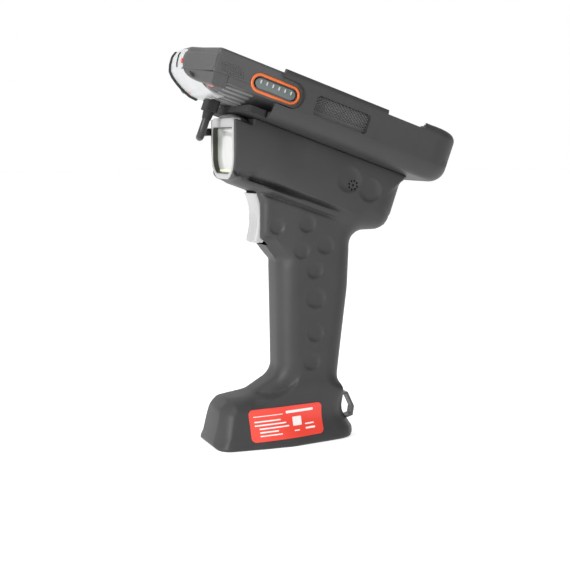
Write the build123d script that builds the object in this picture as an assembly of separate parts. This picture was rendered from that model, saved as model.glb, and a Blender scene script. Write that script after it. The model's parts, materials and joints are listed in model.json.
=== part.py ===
from build123d import *
import math
import os

# A trigger handle for a handheld computer: a pistol-shaped housing with a barcode scanner in its head,
# a cradle on top of it, the handheld computer in the cradle, and a short lead between the two.
# Millimetres. +X points backwards, the scanner looks along -X, +Z is up, and Z = 0 is the table.
# The head, cradle and handheld lean back by TILT. Their own frame is (u, y, v): u runs backwards along
# the screen, v stands off it, and tilted() turns a shape from that frame into the part's.

# ---------------------------------------------------------------- driving sizes
TILT = 19.5                 # lean of the head, cradle and handheld, degrees
WALL = 2.2                  # housing wall
GAP = 0.3                   # room between bodies that move
SNUG = 0.1                  # room between pieces that stay put
PIN_PLAY = 0.04             # radial play of a pin in its hole

FOOT_FRONT = -41.4          # foot: toe at the table
FOOT_REAR = 44.0
FOOT_HALF = 23.7
FOOT_TOP = 38.0             # where the foot has become the grip
FOOT_DRAFT = 8.0            # how far the foot's sides lean in, up to FOOT_TOP
COVER_THICK = 2.6           # plate under the foot

GRIP_FRONT = -2.4
GRIP_LOW_REAR = 33.0        # narrowest, just above the foot
GRIP_HIGH_REAR = 38.9       # widest, under the head
GRIP_HALF = 15.5
GRIP_TOP = 142.0
GRIP_ROUND = 11.0

HEAD_FRONT = -27.0          # the bezel's seat, an upright plane across X
HEAD_REAR = 17.4            # along u
HEAD_HALF = 20.5
HEAD_TOP = 159.3            # v of the joint with the cradle
HEAD_KEEL = 124.2           # v of the lowest line
HEAD_ROUND = 14.0
HEAD_BACK_ROUND = 12.5      # round of its rear edge
NOSE_STEP = 155.4           # v of the lower roof in front of the cradle
NOSE_STEP_U = -77.5

BEZEL_DEPTH = 4.5
BEZEL_TOP = 176.2
BEZEL_LOW = 143.8
BEZEL_HALF = 20.0
WINDOW_HALF = 16.0
WINDOW_TOP = 170.2
WINDOW_LOW = 147.0
WINDOW_THICK = 1.4

TRIGGER_HALF = 8.0
TRIGGER_LOW = 109.6
TRIGGER_SWING = 9.0         # degrees
PIVOT_X, PIVOT_Z = -8.0, 133.0
PIN_R = 1.5
HOUSE_HALF = 13.0           # half width of the nose that carries the trigger
HOUSE_FRONT = -12.7

PHONE_LOW, PHONE_HIGH = 163.0, 184.0
PHONE_REAR = 27.5
PHONE_NOSE = -118.5
PHONE_SHOULDER = -111.4
PHONE_HALF = 39.0
PHONE_WALL = 2.0
PHONE_SPLIT = 171.7         # v of the parting line between its two shells
KEY_U, KEY_V = -77.5, 174.2
KEY_LONG, KEY_TALL = 22.5, 5.4
KEY_TRAVEL = 0.6
PHONE_SCREWS = [(-95.5, 33.0), (-95.5, -33.0), (18.0, 32.0), (18.0, -32.0)]

CRADLE_FRONT = -76.0
CRADLE_REAR = 31.5
CRADLE_WALL = 2.8
CRADLE_HALF = PHONE_HALF + 2 * SNUG + CRADLE_WALL
CRADLE_CORNER = 16.0        # round of its rear corners, seen from above
CRADLE_ROUND = 9.0          # round between its floor and its walls
CRADLE_RIM = 185.5
CRADLE_MID_RIM = 183.0
CRADLE_HOOD = 187.2
CRADLE_CREST = 4.5          # round of the hood's outer edge
SIDE_WINDOW_U = (-55.7, -24.2)
SIDE_WINDOW_V = (168.7, 179.1)

CELL_R, CELL_LONG = 9.2, 65.0
CELL_X, CELL_LOW = 14.5, 29.5

PAD_HALF = 35.0             # rubber pad under the handheld, ahead of the cradle

CORD_R = 2.1
RELIEF_LOW = 152.2          # v where the cord leaves the plug's relief

PARTS = {}


# ---------------------------------------------------------------- small helpers
def tilted(shape):
    """A shape turned from the (u, y, v) frame into the part's frame."""
    return Rot(0, TILT, 0) * shape


def block(x0, x1, y0, y1, z0, z1):
    """A box between two corners."""
    return Pos((x0 + x1) / 2, (y0 + y1) / 2, (z0 + z1) / 2) * Box(x1 - x0, y1 - y0, z1 - z0)


def rod_y(x, z, r, y0, y1):
    """A round bar along Y."""
    return Pos(x, (y0 + y1) / 2, z) * Rot(90, 0, 0) * Cylinder(r, y1 - y0)


def rod_z(x, y, r, z0, z1):
    """A round bar along Z, or along v before tilted()."""
    return Pos(x, y, (z0 + z1) / 2) * Cylinder(r, z1 - z0)


def rod_x(y, z, r, x0, x1):
    """A round bar along X."""
    return Pos((x0 + x1) / 2, y, z) * Rot(0, 90, 0) * Cylinder(r, x1 - x0)


def side_plate(points, half, radii=()):
    """A side outline in (x, z), with round corners, thickened to both sides of the middle plane."""
    face = make_face(Polyline(*[(x, 0, z) for x, z in points], close=True))
    plate = extrude(face, amount=half, dir=(0, 1, 0), both=True)
    for corner, radius in radii:
        x, z = points[corner]
        near = [e for e in plate.edges().filter_by(Axis.Y) if math.dist((e.center().X, e.center().Z), (x, z)) < 0.01]
        plate = fillet(near, radius)
    return plate


def whole(shape):
    """The one solid that a cut or a sum should have left."""
    solids = shape.solids()
    assert len(solids) == 1, f"{len(solids)} solids"
    return solids[0]


def put(name, shape):
    """Keeps one node, as one solid or as a group of separate solids."""
    solids = shape.solids() if hasattr(shape, "solids") else [s for part in shape for s in part.solids()]
    assert solids and all(s.volume > 0 for s in solids), name
    PARTS[name] = solids[0] if len(solids) == 1 else Compound(children=list(solids))


# ---------------------------------------------------------------- pistol housing
def foot_plan(z, inset, grow):
    """The foot's outline at height z: square toe, straight sides, and a round heel."""
    g = grow - inset
    corners = [
        (FOOT_FRONT - g, FOOT_HALF + g),
        (2, FOOT_HALF + g),
        (FOOT_REAR - 14, 15 + g * 0.3 - inset * 0.5),
        (FOOT_REAR + g, 5 - inset * 0.5),
    ]
    outline = corners + [(x, -y) for x, y in reversed(corners)]
    face = make_face(Polyline(*[(x, y, 0) for x, y in outline], close=True))
    for (x, y), radius in zip(corners, (9.0, 20.0, 12.0, 4.5)):
        near = [v for v in face.vertices() if math.dist((v.X, abs(v.Y)), (x, y)) < 0.01]
        face = fillet(near, radius - inset)
    return Pos(0, 0, z) * face


def foot(inset):
    """The foot: its sides lean in as they rise, and its top falls away to the toe."""
    body = loft([foot_plan(0, inset, 0.0), foot_plan(FOOT_TOP, inset, -FOOT_DRAFT)], ruled=True)
    toe = FOOT_FRONT + inset
    outline = [
        (toe, 0),
        (toe + 5.0, 21.5 - inset * 0.6),
        (-30.0, 26.2 - inset),
        (-19.0, 28.4 - inset),
        (GRIP_FRONT + inset, FOOT_TOP),
        (GRIP_LOW_REAR - inset, FOOT_TOP),
        (33.8 - inset, 25.0),
        (38.4 - inset, 12.0),
        (FOOT_REAR - inset, 3.5),
        (FOOT_REAR - inset - 0.5, 0),
    ]
    side = side_plate(outline, FOOT_HALF + 5, ((1, 5.0), (2, 8.0), (3, 12.0), (7, 14.0)))
    return whole(body & side)


def grip(inset):
    """The grip: level round-cornered sections, widest under the head."""
    stations = [
        (FOOT_TOP - 9.0, GRIP_LOW_REAR, GRIP_HALF),
        (50.0, 35.4, GRIP_HALF - 0.3),
        (68.0, 38.2, GRIP_HALF),
        (86.0, 39.2, GRIP_HALF + 0.4),
        (104.0, GRIP_HIGH_REAR, GRIP_HALF + 1.0),
        (GRIP_TOP, GRIP_HIGH_REAR + 3.0, GRIP_HALF + 2.5),
    ]
    sections = []
    for z, rear, half in stations:
        front = GRIP_FRONT + inset
        long = rear - inset - front
        rect = RectangleRounded(long, 2 * (half - inset), GRIP_ROUND - inset)
        sections.append(Pos(front + long / 2, 0, z) * rect)
    return whole(loft(sections))


def trigger_house(inset):
    """The nose between the head and the grip that carries the trigger."""
    i = inset
    outline = [
        (HOUSE_FRONT + i, 140.0),
        (HOUSE_FRONT + i, 112.5 + i * 0.4),
        (GRIP_FRONT - 0.8 + i, 100.2 + i * 0.4),
        (GRIP_FRONT - 0.8 + i, 92.0),
        (14.0, 92.0),
        (14.0, 140.0),
    ]
    plate = side_plate(outline, HOUSE_HALF - i)
    upright = [e for e in plate.edges() if abs(e.center().Y) > HOUSE_HALF - i - 0.1 and e.center().X < 0
               and abs(e.tangent_at(0.5).Y) < 0.1 and e.length > 5 and e.center().Z < 139]
    return whole(fillet(upright, 3.0))


def head_section(u, half, keel, top, radius):
    """Flat roof, upright sides and rounded keel, on a plane across u."""
    across = Plane(origin=(u, 0, 0), x_dir=(0, 1, 0), z_dir=(1, 0, 0))
    height = top - keel
    face = Pos(0, keel + height / 2) * Rectangle(2 * half, height)
    low = [v for v in face.vertices() if v.Y < keel + 0.1]
    return across * fillet(low, radius)


def head(inset):
    """The scanner's head, cut upright at the bezel and rounded at the back."""
    half, keel, top = HEAD_HALF - inset, HEAD_KEEL + inset, HEAD_TOP - inset
    face = head_section(-100.0, half, keel, top, HEAD_ROUND - inset)
    bar = extrude(face, amount=100.0 + HEAD_REAR - inset, dir=(1, 0, 0))
    back = bar.faces().sort_by(Axis.X)[-1]
    rim = [e for e in back.edges() if e.center().Z < top - 0.1]
    bar = fillet(rim, HEAD_BACK_ROUND - inset)
    bar = bar - block(-101, NOSE_STEP_U + inset * 0.5, -30, 30, NOSE_STEP - inset, 170)
    return whole(tilted(bar) & block(HEAD_FRONT - (0.01 if inset else 0.0), 90, -40, 40, 90, 200))


def pistol(inset):
    """The whole housing's outside, or its inside when inset by the wall."""
    return whole(foot(inset) + grip(inset) + trigger_house(inset) + head(inset))


BOSSES = [(-29.0, 12.5), (31.0, 12.5), (30.0, 58.0), (32.5, 96.0), (49.0, 129.0), (2.0, 145.0)]
BOSS_R, SCREW_R, SCREW_HEAD_R = 3.6, 1.25, 2.4
SCREW_SEAT, SCREW_TIP = 10.0, -8.5
SPEAKER_U, SPEAKER_V = -13.0, 144.4
CRADLE_SCREWS = [(-58.5, 12.0), (-58.5, -12.0), (10.0, 11.0), (10.0, -11.0)]
CRADLE_SCREW_R, CRADLE_SCREW_TIP = 1.25, 154.6
BOARD_POSTS = [(-44.0, -10.0), (4.0, 10.0)]
BOARD_V, BOARD_THICK = 152.3, 1.6
COVER_SCREWS = [(-34.0, 14.5), (-34.0, -14.5), (26.5, 8.5), (26.5, -8.5)]


def housing():
    """The hollow housing with its bosses, posts, slot and holes, before it is split."""
    outside = pistol(0.0)
    inside = pistol(WALL) + extrude(foot_plan(-1.0, WALL, 0.0), amount=1.0 + COVER_THICK + SNUG)
    shell = outside - inside
    extra = [rod_y(x, z, BOSS_R, -30, 30) for x, z in BOSSES]
    extra += [tilted(rod_z(u, y, 3.0, CRADLE_SCREW_TIP - 1.0, HEAD_TOP)) for u, y in CRADLE_SCREWS]
    extra += [tilted(rod_z(u, y, 2.4, BOARD_V + BOARD_THICK, HEAD_TOP)) for u, y in BOARD_POSTS]
    extra += [rod_z(x, y, 3.0, COVER_THICK + SNUG, 12.0) for x, y in COVER_SCREWS]
    for sign in (-1, 1):
        near, far = sorted((sign * (TRIGGER_HALF + GAP), sign * HOUSE_HALF))
        extra.append(block(HOUSE_FRONT, -2.5, near, far, 105.0, 137.0))
    for piece in extra:
        shell = shell + (piece & outside)
    slot_half = TRIGGER_HALF + GAP
    shell = shell - block(-22.0, -2.5, -slot_half, slot_half, TRIGGER_LOW - 1.0, 139.0)
    shell = shell - rod_y(PIVOT_X, PIVOT_Z, PIN_R + 0.02, -11.0, 11.0)
    for x, z in BOSSES:
        shell = shell - rod_y(x, z, SCREW_R + 0.05, SCREW_TIP - 0.5, SCREW_SEAT + 0.1)
        shell = shell - rod_y(x, z, SCREW_HEAD_R + 0.2, SCREW_SEAT, 30)
    for u, y in CRADLE_SCREWS:
        shell = shell - tilted(rod_z(u, y, CRADLE_SCREW_R + 0.05, CRADLE_SCREW_TIP - 0.3, HEAD_TOP + 1))
    for u, y in BOARD_POSTS:
        shell = shell - tilted(rod_z(u, y, 0.85, BOARD_V, 156.5))
    for x, y in COVER_SCREWS:
        shell = shell - rod_z(x, y, SCREW_R + 0.05, 0, 10.0)
    speaker = [(0.0, 0.0)] + [(2.4 * math.cos(math.radians(a)), 2.4 * math.sin(math.radians(a)))
                              for a in range(0, 360, 45)]
    for du, dv in speaker:
        hole = Pos(SPEAKER_U + du, -20, SPEAKER_V + dv) * Rot(90, 0, 0) * Cylinder(0.45, 10)
        shell = shell - tilted(hole)
    gland = Pos(GLAND_X, HEAD_HALF, GLAND_Z) * Rot(90, 0, 0) * Cylinder(2.0, 10)
    return shell - gland


GLAND_X, GLAND_Z = -18.5, 168.5


def bezel_face(x, half, low, top, low_round, top_round):
    """The bezel's outline on an upright plane across X: flat top, straight sides, round bottom."""
    across = Plane(origin=(x, 0, 0), x_dir=(0, 1, 0), z_dir=(1, 0, 0))
    face = Pos(0, (low + top) / 2) * Rectangle(2 * half, top - low)
    face = fillet([v for v in face.vertices() if v.Y < low + 0.1], low_round)
    face = fillet([v for v in face.vertices() if v.Y > top - 0.1], top_round)
    return across * face


def make_housing():
    """Left and right halves, the plate under the foot, the label, the strap loop and the screws."""
    shell = housing()
    put("housing_left", shell & block(-60, 90, -40, 0, -5, 200))
    put("housing_right", shell & block(-60, 90, 0, 40, -5, 200))

    cover = extrude(foot_plan(0, WALL + SNUG, 0.0), amount=COVER_THICK)
    for x, y in COVER_SCREWS:
        cover = cover - rod_z(x, y, SCREW_R + 0.1, -1, 5) - rod_z(x, y, SCREW_HEAD_R + 0.1, -1, 1.3)
    put("base_cover", cover)
    put("base_cover_screws", [rod_z(x, y, SCREW_R, 1.2, 9.0) + rod_z(x, y, SCREW_HEAD_R, 0.2, 1.3)
                              - block(x - 1.3, x + 1.3, y - 0.3, y + 0.3, 0.0, 0.8) for x, y in COVER_SCREWS])
    screws = []
    for x, z in BOSSES:
        one = rod_y(x, z, SCREW_R, SCREW_TIP, SCREW_SEAT) + rod_y(x, z, SCREW_HEAD_R, SCREW_SEAT, SCREW_SEAT + 1.8)
        screws.append(one - block(x - 1.3, x + 1.3, SCREW_SEAT + 1.1, SCREW_SEAT + 2, z - 0.3, z + 0.3))
    put("housing_screws", screws)

    lean = math.degrees(math.atan(FOOT_DRAFT / FOOT_TOP))
    plate = Box(39.5, 0.5, 16.0)
    plate = fillet(plate.edges().filter_by(Axis.Y), 3.0)
    middle = 12.8
    off = FOOT_HALF - FOOT_DRAFT * middle / FOOT_TOP + 0.30
    put("base_label", Pos(-7.0, -off, middle) * Rot(-lean, 0, 0) * Rot(0, 3.0, 0) * plate)

    route = Polyline((33.5, 0, 22.9), (40.4, 0, 23.3), (44.0, 0, 15.6), (43.3, 0, 11.0), (37.6, 0, 9.2))
    band = Plane(origin=route @ 0, x_dir=(0, 1, 0), z_dir=route % 0) * Rectangle(6.0, 1.3)
    loop = sweep(band, path=route, transition=Transition.RIGHT)
    put("lanyard_loop", loop - pistol(0.0))


# ---------------------------------------------------------------- trigger
def make_trigger():
    """The light trigger, its pin and spring, and the switch that it presses."""
    front = Line((-18.0, 0, 136.6), (-16.3, 0, 132.4)) + ThreePointArc(
        (-16.3, 0, 132.4), (-14.9, 0, 122.5), (-17.0, 0, TRIGGER_LOW + 0.4))
    back = Polyline((-17.0, 0, TRIGGER_LOW + 0.4), (-11.4, 0, TRIGGER_LOW), (-10.6, 0, 112.0),
                    (-10.4, 0, 127.0), (-4.6, 0, 131.2), (-4.6, 0, 135.6), (-8.0, 0, 137.2), (-18.0, 0, 136.6))
    body = extrude(make_face(front + back), amount=TRIGGER_HALF, dir=(0, 1, 0), both=True)
    edge = [e for e in body.edges() if abs(e.center().Y) > TRIGGER_HALF - 0.1 and e.length > 15
            and e.center().X < -13]
    body = fillet(edge, 2.0)
    body = body - rod_y(PIVOT_X, PIVOT_Z, PIN_R + PIN_PLAY, -20, 20)
    put("trigger", body)
    put("trigger_pin", rod_y(PIVOT_X, PIVOT_Z, PIN_R, -10.8, 10.8))

    bracket = block(-2.4, -0.6, -HOUSE_HALF + WALL + SNUG, HOUSE_HALF - WALL - SNUG, 108.0, 127.0)
    put("trigger_bracket", bracket)
    switch = block(-5.8, -2.5, -3.0, 3.0, 110.5, 116.5) + rod_x(0, 113.5, 0.9, -7.0, -5.7)
    put("trigger_switch", switch)
    coil = Helix(pitch=1.3, height=6.5, radius=2.2)
    wire = sweep(Plane(origin=coil @ 0, z_dir=coil % 0) * Circle(0.3), path=coil)
    put("trigger_spring", Pos(-9.5, 0, 121.5) * Rot(0, 90, 0) * wire)


# ---------------------------------------------------------------- scanner and electronics
def make_scanner():
    """Bezel, window, imaging engine with its lens and lamps, board, beeper, cell and contacts."""
    frame = extrude(bezel_face(HEAD_FRONT - BEZEL_DEPTH, BEZEL_HALF, BEZEL_LOW, BEZEL_TOP, 13.0, 3.0),
                    amount=BEZEL_DEPTH - SNUG / 2, dir=(1, 0, 0))
    mouth = extrude(bezel_face(HEAD_FRONT - BEZEL_DEPTH - 1, WINDOW_HALF, WINDOW_LOW, WINDOW_TOP, 10.0, 1.5),
                    amount=BEZEL_DEPTH + 2, dir=(1, 0, 0))
    rebate = extrude(bezel_face(HEAD_FRONT - WINDOW_THICK - SNUG, WINDOW_HALF + 1.2, WINDOW_LOW - 1.2,
                                WINDOW_TOP + 1.2, 11.2, 2.7), amount=5, dir=(1, 0, 0))
    put("scanner_bezel", frame - mouth - rebate)
    put("scanner_window", extrude(bezel_face(HEAD_FRONT - WINDOW_THICK - SNUG / 2, WINDOW_HALF + 1.1,
                                             WINDOW_LOW - 1.1, WINDOW_TOP + 1.1, 11.1, 2.6),
                                  amount=WINDOW_THICK, dir=(1, 0, 0)))
    engine = block(-22.0, -8.0, -11.0, 11.0, 149.5, 164.0)
    engine = fillet(engine.edges().filter_by(Axis.X), 1.2)
    bores = [(0.0, 156.8, 3.4), (-7.5, 156.8, 2.2), (7.5, 156.8, 2.2)]
    for y, z, r in bores:
        engine = engine - rod_x(y, z, r, -23.0, -19.0)
    put("scan_engine", engine)
    put("imager_lens", rod_x(0.0, 156.8, 3.3, -21.6, -19.1))
    put("illumination_lamps", [rod_x(y, 156.8, 2.1, -21.6, -19.1) for y in (-7.5, 7.5)])
    bracket = block(-8.0, -6.6, -13.0, 13.0, 147.0, 163.0)
    put("engine_bracket", bracket)

    board = block(-52.0, HEAD_REAR - 11.4, -15.0, 15.0, BOARD_V, BOARD_V + BOARD_THICK)
    for u, y in BOARD_POSTS:
        board = board - rod_z(u, y, 0.9, 150, 156)
    put("main_board", tilted(board))
    put("board_screws", [tilted(rod_z(u, y, 0.8, BOARD_V - 0.1, 156.0) + rod_z(u, y, 1.6, BOARD_V - 1.3, BOARD_V))
                         for u, y in BOARD_POSTS])
    chips = [(-34, -22, -6, 6, 1.2), (-16, -8, -4, 4, 1.0), (-6, 0, -10, -5, 1.6), (-50, -46, -4, 4, 2.0)]
    put("board_chips", [tilted(block(u0, u1, y0, y1, BOARD_V - h, BOARD_V)) for u0, u1, y0, y1, h in chips])

    beeper = Pos(SPEAKER_U, -(HEAD_HALF - WALL - SNUG - 1.6), SPEAKER_V) * Rot(90, 0, 0) * Cylinder(5.6, 3.2)
    put("beeper", tilted(beeper))

    put("grip_cell", rod_z(CELL_X, 0, CELL_R, CELL_LOW, CELL_LOW + CELL_LONG)
        + rod_z(CELL_X, 0, 3.0, CELL_LOW + CELL_LONG, CELL_LOW + CELL_LONG + 1.5))
    put("cell_contact_top", block(CELL_X - 6, CELL_X + 6, -6, 6, CELL_LOW + CELL_LONG + 1.6,
                                  CELL_LOW + CELL_LONG + 2.4))
    cone = [Pos(CELL_X, 0, CELL_LOW - 1.0 - 1.2 * k) * Torus(3.0 + 0.9 * k, 0.4) for k in range(3)]
    put("cell_contact_bottom", cone + [block(CELL_X - 6, CELL_X + 6, -6, 6, CELL_LOW - 5.0, CELL_LOW - 4.2)])
    cup = rod_z(CELL_X, 0, CELL_R + 1.4, CELL_LOW - 6.4, CELL_LOW + 14) - rod_z(
        CELL_X, 0, CELL_R + SNUG, CELL_LOW - 5.1, CELL_LOW + 15)
    put("cell_holder", cup)


# ---------------------------------------------------------------- cradle
def make_cradle():
    """The tray on the head: floor, side walls with windows, rim steps and rear corner hoods."""
    wall = CRADLE_WALL
    outer = block(CRADLE_FRONT, CRADLE_REAR, -CRADLE_HALF, CRADLE_HALF, HEAD_TOP, CRADLE_HOOD)
    corners = [e for e in outer.edges().filter_by(Axis.Z) if e.center().X > 0]
    outer = fillet(corners, CRADLE_CORNER)
    keel = [e for e in outer.edges() if e.center().Z < HEAD_TOP + 0.1 and e.center().X > CRADLE_FRONT + 1]
    outer = fillet(keel, CRADLE_ROUND)
    crest = [e for e in outer.edges() if e.center().Z > CRADLE_HOOD - 0.1 and e.center().X > CRADLE_REAR - 10]
    outer = fillet(crest, CRADLE_CREST)
    room = phone_body(SNUG * 2, PHONE_LOW - SNUG * 2, 200.0)
    tray = outer - room
    tray = tray - block(-90, CRADLE_REAR - 2 * 12.0, -50, 50, CRADLE_RIM, 190)
    tray = tray - block(-15.6, 6.9, -50, 50, CRADLE_MID_RIM, 190)
    tray = tray - block(0, 50, -22, 22, PHONE_HIGH - 1.0, 190)
    for sign in (-1, 1):
        near, far = sorted((sign * (PHONE_HALF - 6), sign * (CRADLE_HALF + 8)))
        span = block(SIDE_WINDOW_U[0], SIDE_WINDOW_U[1], near, far, *SIDE_WINDOW_V)
        tray = tray - fillet(span.edges().filter_by(Axis.Y), 2.0)
        notch = Pos(-68.9, sign * CRADLE_HALF, KEY_V) * Rot(90, 0, 0) * Cylinder(7.0, 20)
        tray = tray - notch - block(-90, -68.9, near, far, KEY_V - 7.0, KEY_V + 7.0)
        hood_near, hood_far = sorted((sign * 22.0, sign * (CRADLE_HALF - wall - 0.5)))
        hood = block(13.0, CRADLE_REAR - 3.0, hood_near, hood_far, PHONE_HIGH + GAP, CRADLE_HOOD)
        tray = tray + (hood & outer)
    for u, y in CRADLE_SCREWS:
        tray = tray - rod_z(u, y, CRADLE_SCREW_R + 0.1, 150, 170) - rod_z(u, y, 2.6, 161.0, 170)
    put("cradle", tilted(tray))
    put("cradle_screws", [tilted(rod_z(u, y, CRADLE_SCREW_R, CRADLE_SCREW_TIP, 161.2)
                                 + rod_z(u, y, 2.4, 161.1, 162.5)) for u, y in CRADLE_SCREWS])
    pad = block(-86.5, CRADLE_FRONT - SNUG, -PAD_HALF, PAD_HALF, HEAD_TOP + SNUG, PHONE_LOW - SNUG)
    put("support_pad", tilted(fillet(pad.edges().filter_by(Axis.Z), 2.0)))
    cap = side_plate([(-88.0, NOSE_STEP + 0.1), (-88.0, NOSE_STEP + 1.6), (-83.0, HEAD_TOP),
                      (NOSE_STEP_U - 0.1, HEAD_TOP), (NOSE_STEP_U - 0.1, NOSE_STEP + 0.1)], 14.0)
    put("head_top_cap", tilted(cap) - block(-60, HEAD_FRONT + SNUG, -30, 30, 140, BEZEL_TOP + SNUG))


# ---------------------------------------------------------------- handheld computer
def phone_body(grow, low, high):
    """The handheld's outline, from v = low to v = high: round rear corners and a faceted nose."""
    g = grow
    corners = [
        (PHONE_REAR + g, PHONE_HALF + g),
        (PHONE_SHOULDER - g, PHONE_HALF + g),
        (PHONE_SHOULDER - 4.1 - g, 17.5 + g * 0.2),
        (PHONE_NOSE - g, 7.0),
    ]
    outline = corners + [(x, -y) for x, y in reversed(corners)]
    face = make_face(Polyline(*[(x, y, 0) for x, y in outline], close=True))
    for corner, radius in ((0, 10.0 + g), (1, 2.5)):
        x, y = corners[corner]
        near = [v for v in face.vertices() if math.dist((v.X, abs(v.Y)), (x, y)) < 0.01]
        face = fillet(near, radius)
    return extrude(Pos(0, 0, low) * face, amount=high - low)


def nose_slab(front, back):
    """A slanted slab under the nose, between two lines parallel to its sloping face."""
    low, high = PHONE_LOW - 0.01, PHONE_SPLIT
    rise = 14.5
    outline = [(PHONE_NOSE + front, high), (PHONE_NOSE + rise + front, low),
               (PHONE_NOSE + rise + back, low), (PHONE_NOSE + back, high)]
    return side_plate(outline, 60.0)


def make_phone():
    """Shells, nose, glass, inner pieces, keys and the textured side panels."""
    low_half = phone_body(0.0, PHONE_LOW, PHONE_SPLIT)
    ahead = nose_slab(-40.0, 5.0)
    back = low_half - ahead
    back = back - phone_body(-PHONE_WALL, PHONE_LOW + PHONE_WALL, PHONE_SPLIT + 1) + (
        low_half & nose_slab(5.0, 7.5))
    cap = low_half & nose_slab(0.0, 5.0 - SNUG)
    chamfered = whole(cap)
    frame = phone_body(0.0, PHONE_SPLIT, PHONE_HIGH)
    top_edges = [e for e in frame.edges() if e.center().Z > PHONE_HIGH - 0.01]
    frame = fillet(top_edges, 1.5)
    frame = frame - phone_body(-PHONE_WALL, PHONE_SPLIT - 1, PHONE_HIGH - 3.0)
    glass_low = PHONE_HIGH - 1.3
    recess = fillet(block(-104.0, 20.5, -35.0, 35.0, glass_low - 0.2, PHONE_HIGH + 1).edges().filter_by(Axis.Z), 5.0)
    frame = frame - recess
    frame = frame - block(-92.0, 10.0, -32.0, 32.0, PHONE_HIGH - 4, PHONE_HIGH + 1)

    pocket_half = PHONE_HALF - 2.6
    for sign in (-1, 1):
        near, far = sorted((sign * pocket_half, sign * (PHONE_HALF + 1)))
        hole = fillet(block(KEY_U - 11.8, KEY_U + 11.8, near, far, KEY_V - 2.95, KEY_V + 2.95)
                      .edges().filter_by(Axis.Y), 2.9)
        seat = fillet(block(KEY_U - 13.95, KEY_U + 13.95, *sorted((sign * (PHONE_HALF - 0.9), sign * (PHONE_HALF + 2))),
                            KEY_V - 5.1, KEY_V + 5.1).edges().filter_by(Axis.Y), 5.05)
        back, frame = back - hole - seat, frame - hole - seat
        pad = block(-56.5, -23.0, *sorted((sign * (PHONE_HALF - 0.8), sign * (PHONE_HALF + 2))), 167.6, 180.2)
        back, frame = back - pad, frame - pad
        panel = fillet(block(-56.3, -23.2, *sorted((sign * (PHONE_HALF - 0.7), sign * PHONE_HALF)), 167.8, 180.0)
                       .edges().filter_by(Axis.Y), 1.5)
        side = "left" if sign < 0 else "right"
        put(f"side_panel_{side}", tilted(panel))
        ring = fillet(block(KEY_U - 13.8, KEY_U + 13.8, *sorted((sign * (PHONE_HALF - 0.8), sign * (PHONE_HALF + 0.4))),
                            KEY_V - 5.0, KEY_V + 5.0).edges().filter_by(Axis.Y), 4.9)
        put(f"key_ring_{side}", tilted(ring - hole))
        key = fillet(block(KEY_U - KEY_LONG / 2, KEY_U + KEY_LONG / 2,
                           *sorted((sign * (pocket_half + KEY_TRAVEL + 0.4), sign * (PHONE_HALF + 0.4))),
                           KEY_V - KEY_TALL / 2, KEY_V + KEY_TALL / 2).edges().filter_by(Axis.Y), KEY_TALL / 2 - 0.1)
        ribs = [block(KEY_U + 3.4 * k - 0.5, KEY_U + 3.4 * k + 0.5,
                      *sorted((sign * (PHONE_HALF + 0.3), sign * (PHONE_HALF + 0.8))),
                      KEY_V - 1.6, KEY_V + 1.8) for k in (-2.5, -1.5, -0.5, 0.5, 1.5, 2.5)]
        for rib in ribs:
            key = key + rib
        put(f"scan_key_{side}", tilted(key))

    for u, y in PHONE_SCREWS:
        post = rod_z(u, y, 2.6, PHONE_LOW + 1.0, PHONE_SPLIT)
        back = back + post - rod_z(u, y, 1.05, 160, 180) - rod_z(u, y, 2.0, 160, PHONE_LOW + 1.2)
        frame = frame + rod_z(u, y, 2.6, PHONE_SPLIT, PHONE_HIGH - 3.0) - rod_z(u, y, 1.05, 170, 177)
    put("phone_screws", [tilted(rod_z(u, y, 1.0, PHONE_LOW + 1.0, 176.5)
                                + rod_z(u, y, 1.9, PHONE_LOW + 0.2, PHONE_LOW + 1.1)) for u, y in PHONE_SCREWS])
    power_hole = block(-105.0, -95.0, PHONE_HALF - 2.6, PHONE_HALF + 1, 175.5, 179.5)
    frame = frame - power_hole
    put("power_key", tilted(fillet(block(-104.7, -95.3, PHONE_HALF - 1.6, PHONE_HALF + 0.6, 175.8, 179.2)
                                   .edges().filter_by(Axis.Y), 1.2)))
    socket = block(-99.6, -92.4, -3.4, 6.4, PHONE_LOW - 1, PHONE_LOW + PHONE_WALL + 1)
    back = back - socket
    put("phone_back", tilted(whole(back)))
    put("phone_nose_cap", tilted(chamfered))
    put("phone_frame", tilted(whole(frame)))
    put("display_glass", tilted(fillet(block(-103.8, 20.3, -34.8, 34.8, glass_low, PHONE_HIGH - 0.1)
                                       .edges().filter_by(Axis.Z), 4.8)))
    put("display_panel", tilted(block(-91.0, 9.0, -31.0, 31.0, glass_low - 2.0, glass_low - SNUG)))
    put("phone_board", tilted(block(-90.0, 18.0, -30.0, 30.0, 176.6, 177.8)))
    put("phone_battery", tilted(fillet(block(-60.0, 12.0, -28.0, 28.0, 166.0, 174.6).edges().filter_by(Axis.Z), 2.0)))
    rim = (phone_body(0.5, 170.6, 172.4) - phone_body(0.03, 160, 190)) & block(-130, -109.5, -50, 50, 160, 190)
    put("nose_bumper", tilted(rim))
    put("nose_accents", [tilted((phone_body(0.45, 172.6, 174.2) - phone_body(0.02, 170, 190))
                                & block(-130, -100, y - 2.5, y + 2.5, 160, 190)) for y in (-24.0, 24.0)])


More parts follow.
